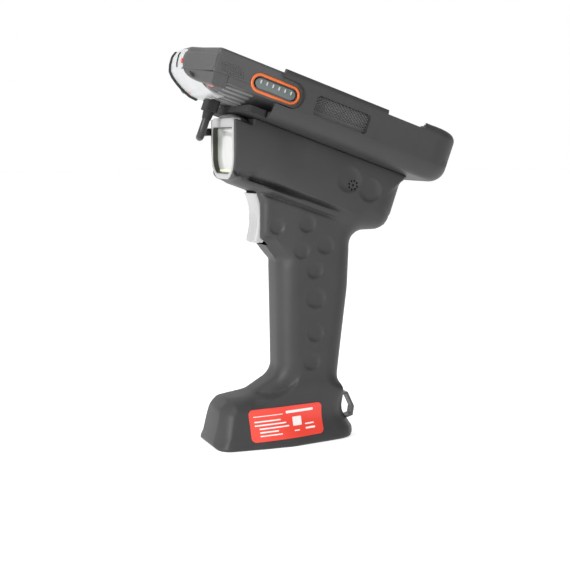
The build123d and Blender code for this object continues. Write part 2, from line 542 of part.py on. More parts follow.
# ---------------------------------------------------------------- lead
def make_lead():
    """The short lead from the socket in the handheld's back to the gland on the head's far side."""
    plug = fillet(block(-99.5, -92.5, -3.3, 6.3, 156.6, PHONE_LOW - SNUG).edges().filter_by(Axis.Z), 1.2)
    plug = plug + block(-98.5, -93.5, -2.4, 5.4, PHONE_LOW - 0.3, PHONE_LOW + 2.2)
    put("plug", tilted(plug))
    relief = loft([Pos(-96.0, 1.5, 156.6) * Circle(3.0), Pos(-96.0, 1.5, RELIEF_LOW) * Circle(2.4)], ruled=True)
    put("plug_relief", tilted(relief))

    lean = math.radians(TILT)
    start = Vector(-96.0 * math.cos(lean) + RELIEF_LOW * math.sin(lean), 1.5,
                   96.0 * math.sin(lean) + RELIEF_LOW * math.cos(lean))
    down = Vector(-math.sin(lean), 0, -math.cos(lean))
    route = [start, start + down * 9.2, Vector(-40.6, 12.0, 165.6), Vector(-35.4, 22.0, 169.6),
             Vector(-25.5, 24.6, 168.5)]
    radii = []
    for before, here, after in zip(route, route[1:], route[2:]):
        turn = math.radians((here - before).get_angle(after - here))
        shorter = min((here - before).length, (after - here).length)
        radii.append(0.45 * shorter / math.tan(turn / 2))
        print("cord arc", round(radii[-1], 2), "turn", round(math.degrees(turn), 1), "run", round(shorter, 1))
    path = FilletPolyline(*route, radius=radii)
    tube = sweep(Plane(origin=path @ 0, z_dir=path % 0) * Circle(CORD_R), path=path)
    print("cord length", round(path.length, 2), "volume ratio",
          round(tube.volume / (path.length * math.pi * CORD_R ** 2), 4))
    put("cord", tube)

    ahead = (route[-1] - route[-2]).normalized()
    boot_face = Plane(origin=route[-1], z_dir=ahead)
    boot = extrude(boot_face * Circle(3.2), amount=5.0)
    elbow = block(-24.0, GLAND_X + 3.5, HEAD_HALF + 0.05, HEAD_HALF + 7.2, GLAND_Z - 3.5, GLAND_Z + 3.5)
    elbow = fillet(elbow.edges().filter_by(Axis.Z), 2.0)
    spigot = Pos(GLAND_X, HEAD_HALF - 2.0, GLAND_Z) * Rot(90, 0, 0) * Cylinder(1.95, 6.0)
    put("cord_gland", whole(boot + elbow + spigot))


make_housing()
make_trigger()
make_scanner()
make_cradle()
make_phone()
make_lead()

os.makedirs("parts", exist_ok=True)
for name, shape in PARTS.items():
    export_step(shape, f"parts/{name}.step")
print(len(PARTS), "nodes")
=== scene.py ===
"""The looks of a trigger handle that holds a handheld computer.

Sizes are in millimetres until a mesh is made. +X points backwards, the scanner looks along -X and +Z is up.
The head, the cradle and the handheld lean back: their own frame is (u, y, v), with u backwards along the
screen and v standing off it, and Lean.turn() takes points from that frame into the part's.
"""

import json
import logging
import math
from dataclasses import dataclass, field
from enum import Enum

import bpy
import numpy as np
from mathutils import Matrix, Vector
from mathutils.geometry import delaunay_2d_cdt


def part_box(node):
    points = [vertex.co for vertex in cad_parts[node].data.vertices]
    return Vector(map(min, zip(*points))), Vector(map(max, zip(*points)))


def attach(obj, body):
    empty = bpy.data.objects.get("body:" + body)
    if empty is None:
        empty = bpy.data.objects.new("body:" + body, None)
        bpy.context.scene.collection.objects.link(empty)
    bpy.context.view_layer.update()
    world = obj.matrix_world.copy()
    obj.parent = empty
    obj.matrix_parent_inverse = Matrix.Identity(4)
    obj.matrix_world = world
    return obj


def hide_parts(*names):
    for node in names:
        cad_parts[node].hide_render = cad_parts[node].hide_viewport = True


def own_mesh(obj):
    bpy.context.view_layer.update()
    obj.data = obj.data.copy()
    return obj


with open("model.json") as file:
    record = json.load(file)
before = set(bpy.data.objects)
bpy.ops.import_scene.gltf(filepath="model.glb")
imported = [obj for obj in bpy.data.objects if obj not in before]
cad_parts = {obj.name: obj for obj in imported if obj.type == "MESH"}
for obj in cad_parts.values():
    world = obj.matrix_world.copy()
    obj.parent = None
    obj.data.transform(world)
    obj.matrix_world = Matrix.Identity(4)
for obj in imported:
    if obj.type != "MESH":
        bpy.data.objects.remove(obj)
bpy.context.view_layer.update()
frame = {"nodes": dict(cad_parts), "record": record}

MM = 0.001
log = logging.getLogger("trigger_handle")


# ------------------------------------------------------------------ numbers and curves
def smooth_step(low: float, high: float, x: np.ndarray) -> np.ndarray:
    """Nought below low, one above high, and 3t^2 - 2t^3 between them.

    Args:
        low: Where the step starts.
        high: Where it ends.
        x: The values to step.

    Returns:
        The step of each value.
    """
    t = np.clip((x - low) / (high - low), 0.0, 1.0)
    return t * t * (3.0 - 2.0 * t)


def through(x: np.ndarray, knots: list[tuple[float, float]]) -> np.ndarray:
    """A smooth curve through a few points: cubic Hermite spans whose slopes are those of the neighbours' chord.

    Args:
        x: Where to read the curve.
        knots: Its points, in rising order.

    Returns:
        The curve's values.
    """
    xs, ys = np.array(knots, float).T
    slopes = np.gradient(ys, xs)
    x = np.clip(x, xs[0], xs[-1])
    i = np.clip(np.searchsorted(xs, x) - 1, 0, len(xs) - 2)
    span = xs[i + 1] - xs[i]
    t = (x - xs[i]) / span
    a, b, c = t * t * (3 - 2 * t), t * (1 - t) ** 2, t * t * (t - 1)
    return ys[i] + (ys[i + 1] - ys[i]) * a + span * (slopes[i] * b + slopes[i + 1] * c)


def rounded(corners: list[tuple[float, float, float]], step: float = 1.0, closed: bool = True) -> np.ndarray:
    """A polygon with round corners, as points about a step apart.

    Each corner becomes an arc that touches both of its sides, at radius / tan(half the inner angle) from it.

    Args:
        corners: x, y and radius of each corner.
        step: Distance between points.
        closed: Whether the last corner joins the first.

    Returns:
        Points in order, one row each.
    """
    pts = np.array([c[:2] for c in corners], float)
    count = len(pts)
    pieces = []
    for k in range(count):
        here, radius = pts[k], corners[k][2]
        if radius <= 0 or (not closed and k in (0, count - 1)):
            pieces.append(here[None])
            continue
        a = pts[k - 1] - here
        b = pts[(k + 1) % count] - here
        a, b = a / np.linalg.norm(a), b / np.linalg.norm(b)
        half = math.acos(float(np.clip(a @ b, -1, 1))) / 2
        reach = radius / math.tan(half)
        middle = here + (a + b) / np.linalg.norm(a + b) * radius / math.sin(half)
        n = max(3, int(radius * (math.pi - 2 * half) / step) + 1)
        start, end = here + a * reach - middle, here + b * reach - middle
        turn = math.atan2(start[0] * end[1] - start[1] * end[0], float(start @ end))
        t = np.linspace(0, turn, n)
        pieces.append(middle + np.stack([start[0] * np.cos(t) - start[1] * np.sin(t),
                                         start[0] * np.sin(t) + start[1] * np.cos(t)], 1))
    path = np.concatenate(pieces)
    if closed:
        path = np.concatenate([path, path[:1]])
    along = np.concatenate([[0.0], np.cumsum(np.linalg.norm(np.diff(path, axis=0), axis=1))])
    keep = np.concatenate([[True], np.diff(along) > 1e-6])
    path, along = path[keep], along[keep]
    n = max(8, round(along[-1] / step))
    want = np.linspace(0, along[-1], n + (0 if closed else 1), endpoint=not closed)
    return np.stack([np.interp(want, along, path[:, 0]), np.interp(want, along, path[:, 1])], 1)


def stadium(long: float, tall: float, count: int) -> np.ndarray:
    """A slot's outline round the origin: two straight sides and two half circles, with evenly spaced points.

    Args:
        long: End to end.
        tall: Side to side.
        count: Number of points.

    Returns:
        Points, one row each, anticlockwise.
    """
    r = tall / 2
    path = rounded([(-long / 2, -r, r * 0.999), (long / 2, -r, r * 0.999), (long / 2, r, r * 0.999),
                    (-long / 2, r, r * 0.999)], 0.05)
    pick = np.linspace(0, len(path), count, endpoint=False).astype(int)
    return path[pick]


@dataclass(frozen=True)
class Lean:
    """The frame of the head, the cradle and the handheld, leaning back about Y."""

    degrees: float = 19.5

    def turn(self, points: np.ndarray) -> np.ndarray:
        """Points in (u, y, v) as points in the part's frame."""
        c, s = math.cos(math.radians(self.degrees)), math.sin(math.radians(self.degrees))
        u, y, v = points[..., 0], points[..., 1], points[..., 2]
        return np.stack([u * c + v * s, y, v * c - u * s], -1)

    def flat(self, u: float, v: float) -> tuple[float, float]:
        """The x and z of a point of the middle plane."""
        p = self.turn(np.array([u, 0.0, v]))
        return float(p[0]), float(p[2])

    def back(self, x: np.ndarray, z: np.ndarray) -> tuple[np.ndarray, np.ndarray]:
        """The u and v of points given by x and z."""
        c, s = math.cos(math.radians(self.degrees)), math.sin(math.radians(self.degrees))
        return x * c - z * s, x * s + z * c


LEAN = Lean()


# ------------------------------------------------------------------ finishes
@dataclass(frozen=True)
class Finish:
    """A moulded or coated surface: a base colour that drifts a little, a fine grain and a sheen.

    Attributes:
        name: The material's name.
        colour: Linear base colour.
        rough: Mean roughness.
        drift: How much the colour varies, as a share.
        grain: Size of the surface grain, in millimetres.
        bump: Depth of the grain, in millimetres.
        metal: One for bare metal.
        coat: Weight of a clear coat.
        specular: Strength of the plain reflection.
        see_through: One for clear glass.
        glow: Strength of a faint light of its own.
    """

    name: str
    colour: tuple[float, float, float]
    rough: float = 0.5
    drift: float = 0.08
    grain: float = 0.35
    bump: float = 0.02
    metal: float = 0.0
    coat: float = 0.0
    specular: float = 0.5
    see_through: float = 0.0
    glow: float = 0.0

    def material(self) -> bpy.types.Material:
        """The finish as a node material, made once."""
        made = bpy.data.materials.get(self.name)
        if made:
            return made
        mat = bpy.data.materials.new(self.name)
        mat.use_nodes = True
        nodes, links = mat.node_tree.nodes, mat.node_tree.links
        shader = nodes["Principled BSDF"]
        shader.inputs["Metallic"].default_value = self.metal
        shader.inputs["Specular IOR Level"].default_value = self.specular
        shader.inputs["Transmission Weight"].default_value = self.see_through
        if self.coat:
            shader.inputs["Coat Weight"].default_value = self.coat
            shader.inputs["Coat Roughness"].default_value = 0.08
        if self.glow:
            shader.inputs["Emission Color"].default_value = (*self.colour, 1.0)
            shader.inputs["Emission Strength"].default_value = self.glow
        place = nodes.new("ShaderNodeTexCoord")

        def noise(size_mm: float, detail: float) -> bpy.types.Node:
            """A noise whose cells are about size_mm across."""
            node = nodes.new("ShaderNodeTexNoise")
            node.inputs["Scale"].default_value = 1.0 / (size_mm * MM)
            node.inputs["Detail"].default_value = detail
            links.new(place.outputs["Object"], node.inputs["Vector"])
            return node

        patches, grain = noise(14.0, 3.0), noise(self.grain, 2.0)
        ramp = nodes.new("ShaderNodeValToRGB")
        low, high = 1.0 - self.drift, 1.0 + self.drift
        ramp.color_ramp.elements[0].position, ramp.color_ramp.elements[1].position = 0.3, 0.7
        ramp.color_ramp.elements[0].color = (*(c * low for c in self.colour), 1.0)
        ramp.color_ramp.elements[1].color = (*(min(1.0, c * high) for c in self.colour), 1.0)
        links.new(patches.outputs["Fac"], ramp.inputs["Fac"])
        links.new(ramp.outputs["Color"], shader.inputs["Base Color"])
        spread = nodes.new("ShaderNodeMapRange")
        spread.inputs["To Min"].default_value = max(0.02, self.rough - 0.06)
        spread.inputs["To Max"].default_value = min(1.0, self.rough + 0.06)
        links.new(grain.outputs["Fac"], spread.inputs["Value"])
        links.new(spread.outputs["Result"], shader.inputs["Roughness"])
        if self.bump:
            bump = nodes.new("ShaderNodeBump")
            bump.inputs["Strength"].default_value = 1.0
            bump.inputs["Distance"].default_value = self.bump * MM
            links.new(grain.outputs["Fac"], bump.inputs["Height"])
            links.new(bump.outputs["Normal"], shader.inputs["Normal"])
        return mat


class Look(Enum):
    """The finishes of this object."""

    HOUSING = Finish("charcoal_moulding", (0.034, 0.034, 0.0345), 0.50, 0.05, 0.45, 0.012, specular=0.35)
    CRADLE = Finish("cradle_moulding", (0.036, 0.036, 0.0365), 0.48, 0.05, 0.45, 0.010, specular=0.35)
    HANDHELD = Finish("handheld_moulding", (0.058, 0.058, 0.0585), 0.44, 0.05, 0.35, 0.008, specular=0.4)
    PANEL = Finish("knurled_rubber", (0.075, 0.076, 0.078), 0.42, 0.10, 0.5, 0.02)
    LIGHT = Finish("light_grey_moulding", (0.36, 0.365, 0.36), 0.40, 0.03, 0.4, 0.006)
    # painted highlight: the visor's pale grey stands for the glint along the handheld's lower front chamfer
    NOSE_HIGHLIGHT = Finish("nose_painted_highlight", (0.40, 0.41, 0.415), 0.34, 0.04, 0.4, 0.006)
    RED = Finish("red_accent", (0.72, 0.10, 0.08), 0.35, 0.04, 0.4, 0.006)
    ORANGE = Finish("orange_moulding", (0.60, 0.125, 0.022), 0.38, 0.05, 0.3, 0.005)
    KEY = Finish("key_rubber", (0.095, 0.112, 0.108), 0.50, 0.06, 0.3, 0.008)
    LABEL = Finish("red_film", (0.80, 0.052, 0.030), 0.34, 0.02, 0.8, 0.002)
    MARKS = Finish("white_ink", (0.86, 0.80, 0.78), 0.45, 0.03, 0.5, 0.002)
    RUBBER = Finish("black_rubber", (0.016, 0.016, 0.017), 0.48, 0.10, 0.3, 0.012)
    SHEATH = Finish("black_sheath", (0.014, 0.014, 0.015), 0.36, 0.10, 0.4, 0.008)
    WINDOW = Finish("scan_window", (0.50, 0.51, 0.49), 0.10, 0.02, 2.0, 0.0, coat=0.4)
    # painted shade: a dark olive sheet over the bezel's inner wall stands for the shade inside the scanner's mouth
    MOUTH_SHADE = Finish("mouth_painted_shade", (0.035, 0.036, 0.024), 0.45, 0.10, 0.5, 0.006)
    # painted highlight: the key ribs' pale grey stands for the glints on their tops
    RIB_HIGHLIGHT = Finish("rib_painted_highlight", (0.40, 0.42, 0.42), 0.45, 0.04, 0.4, 0.004)
    # painted highlight: this light grey stands for light off the head's rounded roof and off the handheld's underside
    # ribs
    CAP_HIGHLIGHT = Finish("cap_painted_highlight", (0.13, 0.13, 0.13), 0.40, 0.05, 0.4, 0.005)
    SCREEN = Finish("cover_glass", (0.008, 0.009, 0.011), 0.05, 0.05, 3.0, 0.0, coat=1.0)
    LENS = Finish("coated_lens", (0.03, 0.035, 0.06), 0.05, 0.05, 2.0, 0.0, coat=1.0)
    LAMP = Finish("lamp_body", (0.85, 0.83, 0.60), 0.25, 0.03, 1.0, 0.003)
    INNER = Finish("inner_black", (0.025, 0.025, 0.026), 0.55, 0.08, 0.4, 0.012)
    BOARD = Finish("circuit_board", (0.018, 0.14, 0.06), 0.40, 0.12, 0.8, 0.01)
    CELL = Finish("shrink_wrap", (0.045, 0.12, 0.34), 0.30, 0.05, 1.0, 0.004)
    BRASS = Finish("plated_brass", (0.75, 0.55, 0.22), 0.28, 0.05, 0.5, 0.003, metal=1.0)
    STEEL = Finish("plated_steel", (0.48, 0.48, 0.50), 0.34, 0.06, 0.4, 0.004, metal=1.0)
    COATED = Finish("coated_metal", (0.07, 0.07, 0.073), 0.38, 0.06, 0.4, 0.006)


SLOT_LOOK = {
    "housing_plastic": Look.HOUSING, "cradle_plastic": Look.CRADLE, "phone_plastic": Look.HANDHELD,
    "panel_rubber": Look.PANEL, "light_plastic": Look.LIGHT, "nose_plastic": Look.HANDHELD,
    "accent_red": Look.RED, "ring_orange": Look.ORANGE, "key_rubber": Look.KEY, "label_red": Look.LABEL,
    "black_rubber": Look.RUBBER, "cord_rubber": Look.SHEATH, "scan_glass": Look.WINDOW,
    "lens_glass": Look.LENS, "screen_glass": Look.SCREEN, "lamp_plastic": Look.LAMP,
    "inner_black": Look.INNER, "board_green": Look.BOARD, "cell_wrap": Look.CELL,
    "contact_brass": Look.BRASS, "screw_steel": Look.STEEL, "spring_steel": Look.STEEL,
    "bracket_steel": Look.STEEL, "loop_steel": Look.COATED,
}


# ------------------------------------------------------------------ meshes
def add_piece(name: str, points: np.ndarray, faces: list, look: Look, body: str, crease: float = 38.0) -> bpy.types.Object:
    """Makes a piece from points in millimetres, dresses it and lets it ride on a body.

    Args:
        name: The piece's name.
        points: Corner points, one row each.
        faces: Faces, as lists of point numbers.
        look: Its finish.
        body: The body that it moves with.
        crease: Edges sharper than this many degrees stay sharp.

    Returns:
        The new object.
    """
    mesh = bpy.data.meshes.new(name)
    mesh.from_pydata((np.asarray(points, float) * MM).tolist(), [], [list(map(int, f)) for f in faces])
    mesh.validate()
    mesh.shade_smooth()
    mesh.set_sharp_from_angle(angle=math.radians(crease))
    piece = bpy.data.objects.new(name, mesh)
    bpy.context.scene.collection.objects.link(piece)
    piece.data.materials.append(look.value.material())
    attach(piece, body)
    log.info("%s: %d faces on %s", name, len(mesh.polygons), body)
    return piece


def tube_faces(rings: int, around: int, caps: bool = True, loop: bool = False) -> list:
    """Faces of a closed tube whose points come ring by ring.

    Args:
        rings: Number of rings.
        around: Points on each ring.
        caps: Whether the first and last rings are closed by a face.
        loop: Whether the last ring joins the first.

    Returns:
        Faces as lists of point numbers.
    """
    i, j = np.meshgrid(np.arange(rings if loop else rings - 1), np.arange(around), indexing="ij")
    n, m = (i + 1) % rings, (j + 1) % around
    quads = np.stack([i * around + j, i * around + m, n * around + m, n * around + j], -1).reshape(-1, 4)
    faces = quads.tolist()
    if caps and not loop:
        faces.append(list(range(around))[::-1])
        faces.append(list(range((rings - 1) * around, rings * around)))
    return faces


def pillow(outline: np.ndarray, base: float, top: float, edge: float, crown: float = 0.0) -> tuple:
    """A flat piece with a rounded rim: its outline shrinks by edge * (1 - cos a) as it rises by edge * sin a.

    Args:
        outline: Its outer outline, anticlockwise, in a plane.
        base: Height of its flat back.
        top: Height of its face at the rim's end.
        edge: Radius of the rim.
        crown: How much further the middle of the face stands out.

    Returns:
        Points (a, b, height) and faces.
    """
    middle = outline.mean(0)
    span = np.linalg.norm(outline - middle, axis=1, keepdims=True)
    out = (outline - middle) / span
    rings = [(0.0, base)]
    rings += [(edge * (1 - math.cos(a)), top - edge + edge * math.sin(a)) for a in np.linspace(0, math.pi / 2, 6)]
    layers = [np.column_stack([middle + out * (span - inset), np.full(len(outline), height)])
              for inset, height in rings]
    for share in (0.75, 0.5, 0.25, 0.05):
        height = top + crown * (1 - share * share)
        layers.append(np.column_stack([middle + out * (span - edge) * share, np.full(len(outline), height)]))
    return np.concatenate(layers), tube_faces(len(layers), len(outline))


def on_side(points: np.ndarray, sign: float, out: float) -> np.ndarray:
    """Turns points (a, b, height) into (u, y, v) on the side at y = sign * out, with height pointing outwards."""
    return np.stack([points[:, 0], sign * (out + points[:, 2]), points[:, 1]], 1)


def slab_faces(rows: int, columns: int) -> list:
    """Faces of a closed slab whose points are a grid for its face, row by row, then the same grid for its back.

    Args:
        rows: Rows of the grid.
        columns: Columns of the grid.

    Returns:
        Faces as lists of point numbers: the face, the back, and the wall round both.
    """
    i, j = np.meshgrid(np.arange(rows - 1), np.arange(columns - 1), indexing="ij")
    k = (i * columns + j).ravel()
    top = np.stack([k, k + 1, k + columns + 1, k + columns], 1)
    rim = np.concatenate([np.arange(columns), np.arange(1, rows) * columns + columns - 1,
                          (rows - 1) * columns + np.arange(columns - 2, -1, -1),
                          np.arange(rows - 2, 0, -1) * columns])
    after, count = np.roll(rim, -1), rows * columns
    wall = np.stack([rim, rim + count, after + count, after], 1)
    return top.tolist() + (top[:, ::-1] + count).tolist() + wall.tolist()


# ------------------------------------------------------------------ the pistol housing
@dataclass(frozen=True)
class Rim:
    """How the surface rolls over at a stretch of the side outline.

    Attributes:
        x: Where the stretch starts.
        z: Its height there.
        corner: Radius of the corner in the side view.
        flat: Half width that runs straight across before it rolls over, or how far short of the full
            half width it ends, if negative.
        roll: Depth over which it rolls over.
        power: Two for a round edge, one for a chamfer.
    """

    x: float
    z: float
    corner: float
    flat: float
    roll: float
    power: float = 2.0


@dataclass
class Pistol:
    """The two housing halves, as a height field y(x, z) over the handle's side outline.

    Attributes:
        wall: Thickness of the moulding.
        grid: Spacing of the inner grid.
        head_half: Half width of the head.
        dimples: x, z and radius of the shallow dishes on each side.
    """

    wall: float = 2.2
    grid: float = 1.5
    head_half: float = 20.5
    foot_half: float = 23.7
    foot_draft: float = 8.0
    foot_top: float = 38.0
    speaker: tuple[float, float] = (-13.0, 144.4)
    dimples: list = field(default_factory=lambda: [
        (10.6, 120.2, 5.0), (-5.6, 118.6, 4.2), (7.8, 105.6, 4.6), (21.4, 108.2, 5.0), (15.6, 94.8, 4.8),
        (16.4, 79.6, 5.8), (16.4, 60.4, 5.0), (14.2, 44.8, 5.0), (33.4, 143.4, 7.0), (45.6, 137.6, 6.6)])

    def rims(self) -> list[Rim]:
        """The side outline, anticlockwise from the foot's toe, as the -Y side shows it."""
        step_x, step_z = LEAN.flat(-77.5, 155.4)
        roof_x, roof_z = LEAN.flat(-77.5, 159.3)
        back_x, back_z = LEAN.flat(17.4, 159.3)
        low_x, low_z = LEAN.flat(17.4, 131.5)
        return [
            Rim(-41.3, 0.0, 2.0, -2.0, 2.0),
            Rim(44.0, 0.0, 1.6, -0.6, 2.0),
            Rim(43.9, 4.2, 3.0, -0.6, 3.0),
            Rim(38.0, 13.0, 12.0, -1.0, 6.0),
            Rim(32.4, 31.5, 25.0, 3.0, 11.0),
            Rim(38.6, 84.0, 90.0, 3.0, 11.0),
            Rim(39.3, 105.0, 30.0, 3.0, 10.5),
            Rim(39.0, 115.0, 8.0, 5.0, 12.0),
            Rim(low_x + 0.6, 115.6, 9.0, 5.0, 13.0),
            Rim(low_x + 1.2, low_z + 2.0, 30.0, 6.0, 14.0),
            Rim(back_x, back_z, 1.0, -0.8, 0.8),
            Rim(roof_x, roof_z, 0.8, -0.8, 0.8),
            Rim(step_x, step_z, 0.6, -0.8, 0.8),
            Rim(-30.9, 175.8, 0.4, -0.5, 0.5),
            Rim(-30.9, 144.0, 0.8, 6.0, 12.0),
            Rim(-27.0, 141.3, 4.0, 5.0, 13.0),
            Rim(-15.2, 137.0, 2.0, 8.5, 4.5),
            Rim(-13.0, 130.6, 5.0, 9.0, 4.0),
            Rim(-13.0, 112.5, 1.2, 7.5, 5.5, 1.0),
            Rim(-3.4, 100.2, 3.0, 3.5, 10.0),
            Rim(-2.4, 37.6, 9.0, 4.0, 9.0),
            Rim(-19.5, 27.4, 18.0, 6.0, 7.0),
            Rim(-31.5, 25.8, 4.5, 9.0, 7.0),
            Rim(-36.4, 20.8, 5.0, 10.0, 7.0),
        ]

    def outline(self) -> tuple[np.ndarray, np.ndarray]:
        """Points along the outline, and each one's flat, roll and power, blended over a few millimetres."""
        rims = self.rims()
        path = rounded([(r.x, r.z, r.corner) for r in rims], 0.9)
        corners = np.array([(r.x, r.z) for r in rims])
        ends = np.roll(corners, -1, axis=0)
        way = ends - corners
        t = np.einsum("pkd,kd->pk", path[:, None] - corners, way) / (way ** 2).sum(1)
        near = corners + np.clip(t, 0, 1)[..., None] * way
        gap = np.linalg.norm(path[:, None] - near, axis=2)
        side = gap.argmin(1)
        facts = np.array([(r.flat, r.roll, r.power) for r in rims])[side]
        facts[:, 0] = np.where(facts[:, 0] < 0, self.half_width(path[:, 0], path[:, 1]) + facts[:, 0], facts[:, 0])
        kernel = np.array([1, 2, 3, 2, 1]) / 9.0
        soft = np.stack([np.convolve(np.r_[c[-2:], c, c[:2]], kernel, "valid") for c in facts.T], 1)
        return path, soft

    def half_width(self, x: np.ndarray, z: np.ndarray) -> np.ndarray:
        """The full half width at a point of the side, before its edges roll over.

        The foot tapers to its heel and toe and leans in as it rises, the grip swells towards the head, the
        trigger's nose is narrower, and the head is wider above the ledge that runs along its lower side.
        """
        u, v = LEAN.back(x, z)
        heel = through(z, [(0, 44.0), (4, 43.6), (12, 38.8), (24, 35.4), (40, 36.0)]) - x
        plan = through(heel, [(-1, 0.8), (0, 2.0), (4, 9.4), (9, 13.6), (15.3, 15.8), (27.4, 19.0), (42, 22.4),
                              (57, 23.7), (95, 23.7)])
        toe = x - through(z, [(0, -41.2), (20, -36.5), (24, -34.0), (30, -18.0), (40, -3.0)])
        front = 12.0 + (self.foot_half - 12.0) * np.sqrt(1 - (1 - np.clip(toe / 7.5, 0, 1)) ** 2)
        plan = plan + (self.foot_half - plan) * smooth_step(12, 34, z)
        foot = np.minimum(plan, front) * (1 - self.foot_draft / self.foot_half * np.clip(z, 0, 60) / self.foot_top)
        grip = through(z, [(30, 15.6), (50, 15.2), (68, 15.4), (86, 15.9), (104, 16.6), (122, 17.6), (150, 18.0)])
        nose = (1 - smooth_step(-11.0, 9.0, x)) * smooth_step(95.0, 103.0, z)
        grip = grip - 3.6 * nose
        line = self.scoop_line(x)
        behind = smooth_step(1.0, 13.0, x)
        rise = smooth_step(-0.4, 2.6, z - line) * (1 - behind) + smooth_step(30.0, 44.0, z) * behind
        low = foot + (grip - foot) * rise
        ahead = smooth_step(-30.0, -8.0, u)
        fold = through(v, [(118, 0.0), (122.6, 0.0), (124.3, 0.02), (125.4, 0.55), (126.6, 0.86), (128.0, 0.88),
                           (129.0, 0.62), (129.8, 0.58), (130.8, 0.93), (132.0, 1.0), (170, 1.0)])
        plain = through(v, [(118, 0.0), (121.5, 0.0), (124.0, 0.12), (127.0, 0.55), (130.0, 0.9), (133.0, 1.0),
                            (170, 1.0)])
        ledge = fold + (plain - fold) * ahead
        return low + (self.head_half - low) * ledge

    def scoop_line(self, x: np.ndarray) -> np.ndarray:
        """Height of the crease where the foot's side ends and the hollow over the toe begins."""
        return through(x, [(-40, 34.5), (-27, 30.0), (-18, 27.0), (-9.8, 26.0), (-2, 27.6), (2, 29.9), (6.5, 35.1),
                           (9, 42.0)])

    def relief(self, x: np.ndarray, z: np.ndarray) -> np.ndarray:
        """How deep the small features are cut into the side, in millimetres.

        A dish falls as 1 - (distance / radius)^5, deeper towards its lower rear side. The pocket behind the
        bezel and the two creases fall off as a bell across a short line. The scoop over the toe is a step up
        from its crease that fades with height. The speaker is nine round holes.
        """
        deep = np.zeros_like(x)
        for cx, cz, radius in self.dimples:
            far = np.hypot(x - cx, z - cz) / radius
            slant = 0.5 + 0.5 * ((x - cx) - (z - cz)) / radius / math.sqrt(2)
            deep = np.maximum(deep, 1.5 * np.clip(1 - far ** 5, 0, 1) * np.clip(slant, 0, 1))
        u, v = LEAN.back(x, z)
        along = smooth_step(-68.8, -66.6, u) * (1 - smooth_step(-60.0, -30.0, u))
        deep = deep + 3.2 * along * np.exp(-((v - 129.6) / 1.5) ** 2)
        crease = smooth_step(-64.0, -56.0, u) * (1 - smooth_step(-22.0, -10.0, u))
        deep = deep + 0.9 * crease * (np.exp(-((v - 129.7) / 0.8) ** 2) + np.exp(-((v - 124.6) / 0.8) ** 2))
        above = z - self.scoop_line(x)
        inside = smooth_step(-26.0, -14.0, x) * (1 - smooth_step(0.0, 9.0, x))
        deep = deep + 2.2 * inside * smooth_step(0.0, 2.2, above) * (1 - smooth_step(2.5, 13.0, above))
        for cu, cv in self.speaker_holes():
            deep = deep + 1.4 * (np.hypot(u - cu, v - cv) < 0.52)
        return deep

    def speaker_holes(self) -> np.ndarray:
        """Centres of the speaker's holes in (u, v): one in the middle and eight round it."""
        a = np.radians(np.arange(0, 360, 45))
        ring = np.stack([2.4 * np.cos(a), 2.4 * np.sin(a)], 1)
        return np.concatenate([[[0.0, 0.0]], ring]) + np.array(self.speaker)

    def surface(self, x: np.ndarray, z: np.ndarray) -> np.ndarray:
        """The half width of the outside at each point of the side.

        With d the distance from the outline, y = flat + (full - flat) * (1 - (1 - d / roll)^power)^(1 / power).
        Flat, roll and power are averages over the outline, weighted by exp(-distance beyond the nearest).
        """
        path, facts = self.outline()
        full = self.half_width(x, z)
        y = np.empty_like(x)
        for part in np.array_split(np.arange(len(x)), max(1, len(x) // 3000)):
            gap = np.hypot(x[part, None] - path[:, 0], z[part, None] - path[:, 1])
            near = gap.min(1)
            weight = np.exp(-(gap - near[:, None]) / 0.9)
            flat, roll, power = (weight @ facts / weight.sum(1, keepdims=True)).T
            flat = np.minimum(flat, full[part])
            share = np.clip(near / roll, 0, 1)
            rise = (1 - (1 - share) ** power) ** (1 / power)
            y[part] = flat + (full[part] - flat) * rise
        return np.maximum(y - self.relief(x, z) * smooth_step(0.0, 2.0, self.depth(x, z)), 0.3)

    def depth(self, x: np.ndarray, z: np.ndarray) -> np.ndarray:
        """Distance of each point from the outline."""
        path, _ = self.outline()
        out = np.empty_like(x)
        for part in np.array_split(np.arange(len(x)), max(1, len(x) // 3000)):
            out[part] = np.hypot(x[part, None] - path[:, 0], z[part, None] - path[:, 1]).min(1)
        return out

    def field_points(self) -> tuple[np.ndarray, int]:
        """The outline's points, then rings that follow it inwards, dense where it rolls over, then a grid."""
        path, facts = self.outline()
        along = np.roll(path, -1, axis=0) - np.roll(path, 1, axis=0)
        inward = np.stack([-along[:, 1], along[:, 0]], 1) / np.linalg.norm(along, axis=1, keepdims=True)
        rings = []
        for k in range(1, 9):
            reach = facts[:, 1] * (1 - math.cos(math.radians(11.25 * k)))
            ring = path + inward * reach[:, None]
            keep = self.depth(ring[:, 0], ring[:, 1]) > reach * 0.985 - 1e-3
            rings.append(ring[keep])
        lo, hi = path.min(0), path.max(0)
        gx, gz = np.meshgrid(np.arange(lo[0], hi[0], self.grid), np.arange(lo[1], hi[1], self.grid))
        gx = gx + (np.arange(gx.shape[0]) % 2)[:, None] * self.grid / 2
        cells = np.stack([gx.ravel(), gz.ravel()], 1)
        cells = cells[self.inside(cells)]
        cells = cells[self.depth(cells[:, 0], cells[:, 1]) > 2.0]
        u, v = LEAN.back(cells[:, 0], cells[:, 1])
        above = cells[:, 1] - self.scoop_line(cells[:, 0])
        folded = (v > 122.2) & (v < 132.6) & (u > -70.5) & (u < -5.5)
        scooped = (above > -1.8) & (above < 4.2) & (cells[:, 0] > -28.5) & (cells[:, 0] < 9.5)
        cells = cells[~(folded | scooped)]
        turn = np.radians(np.arange(0, 360, 12))
        circles = [np.stack([cx + s * r * np.cos(turn), cz + s * r * np.sin(turn)], 1)
                   for cx, cz, r in self.dimples for s in (0.55, 0.8, 0.97, 1.04)]
        few = np.radians(np.arange(0, 360, 40))
        for cu, cv in self.speaker_holes():
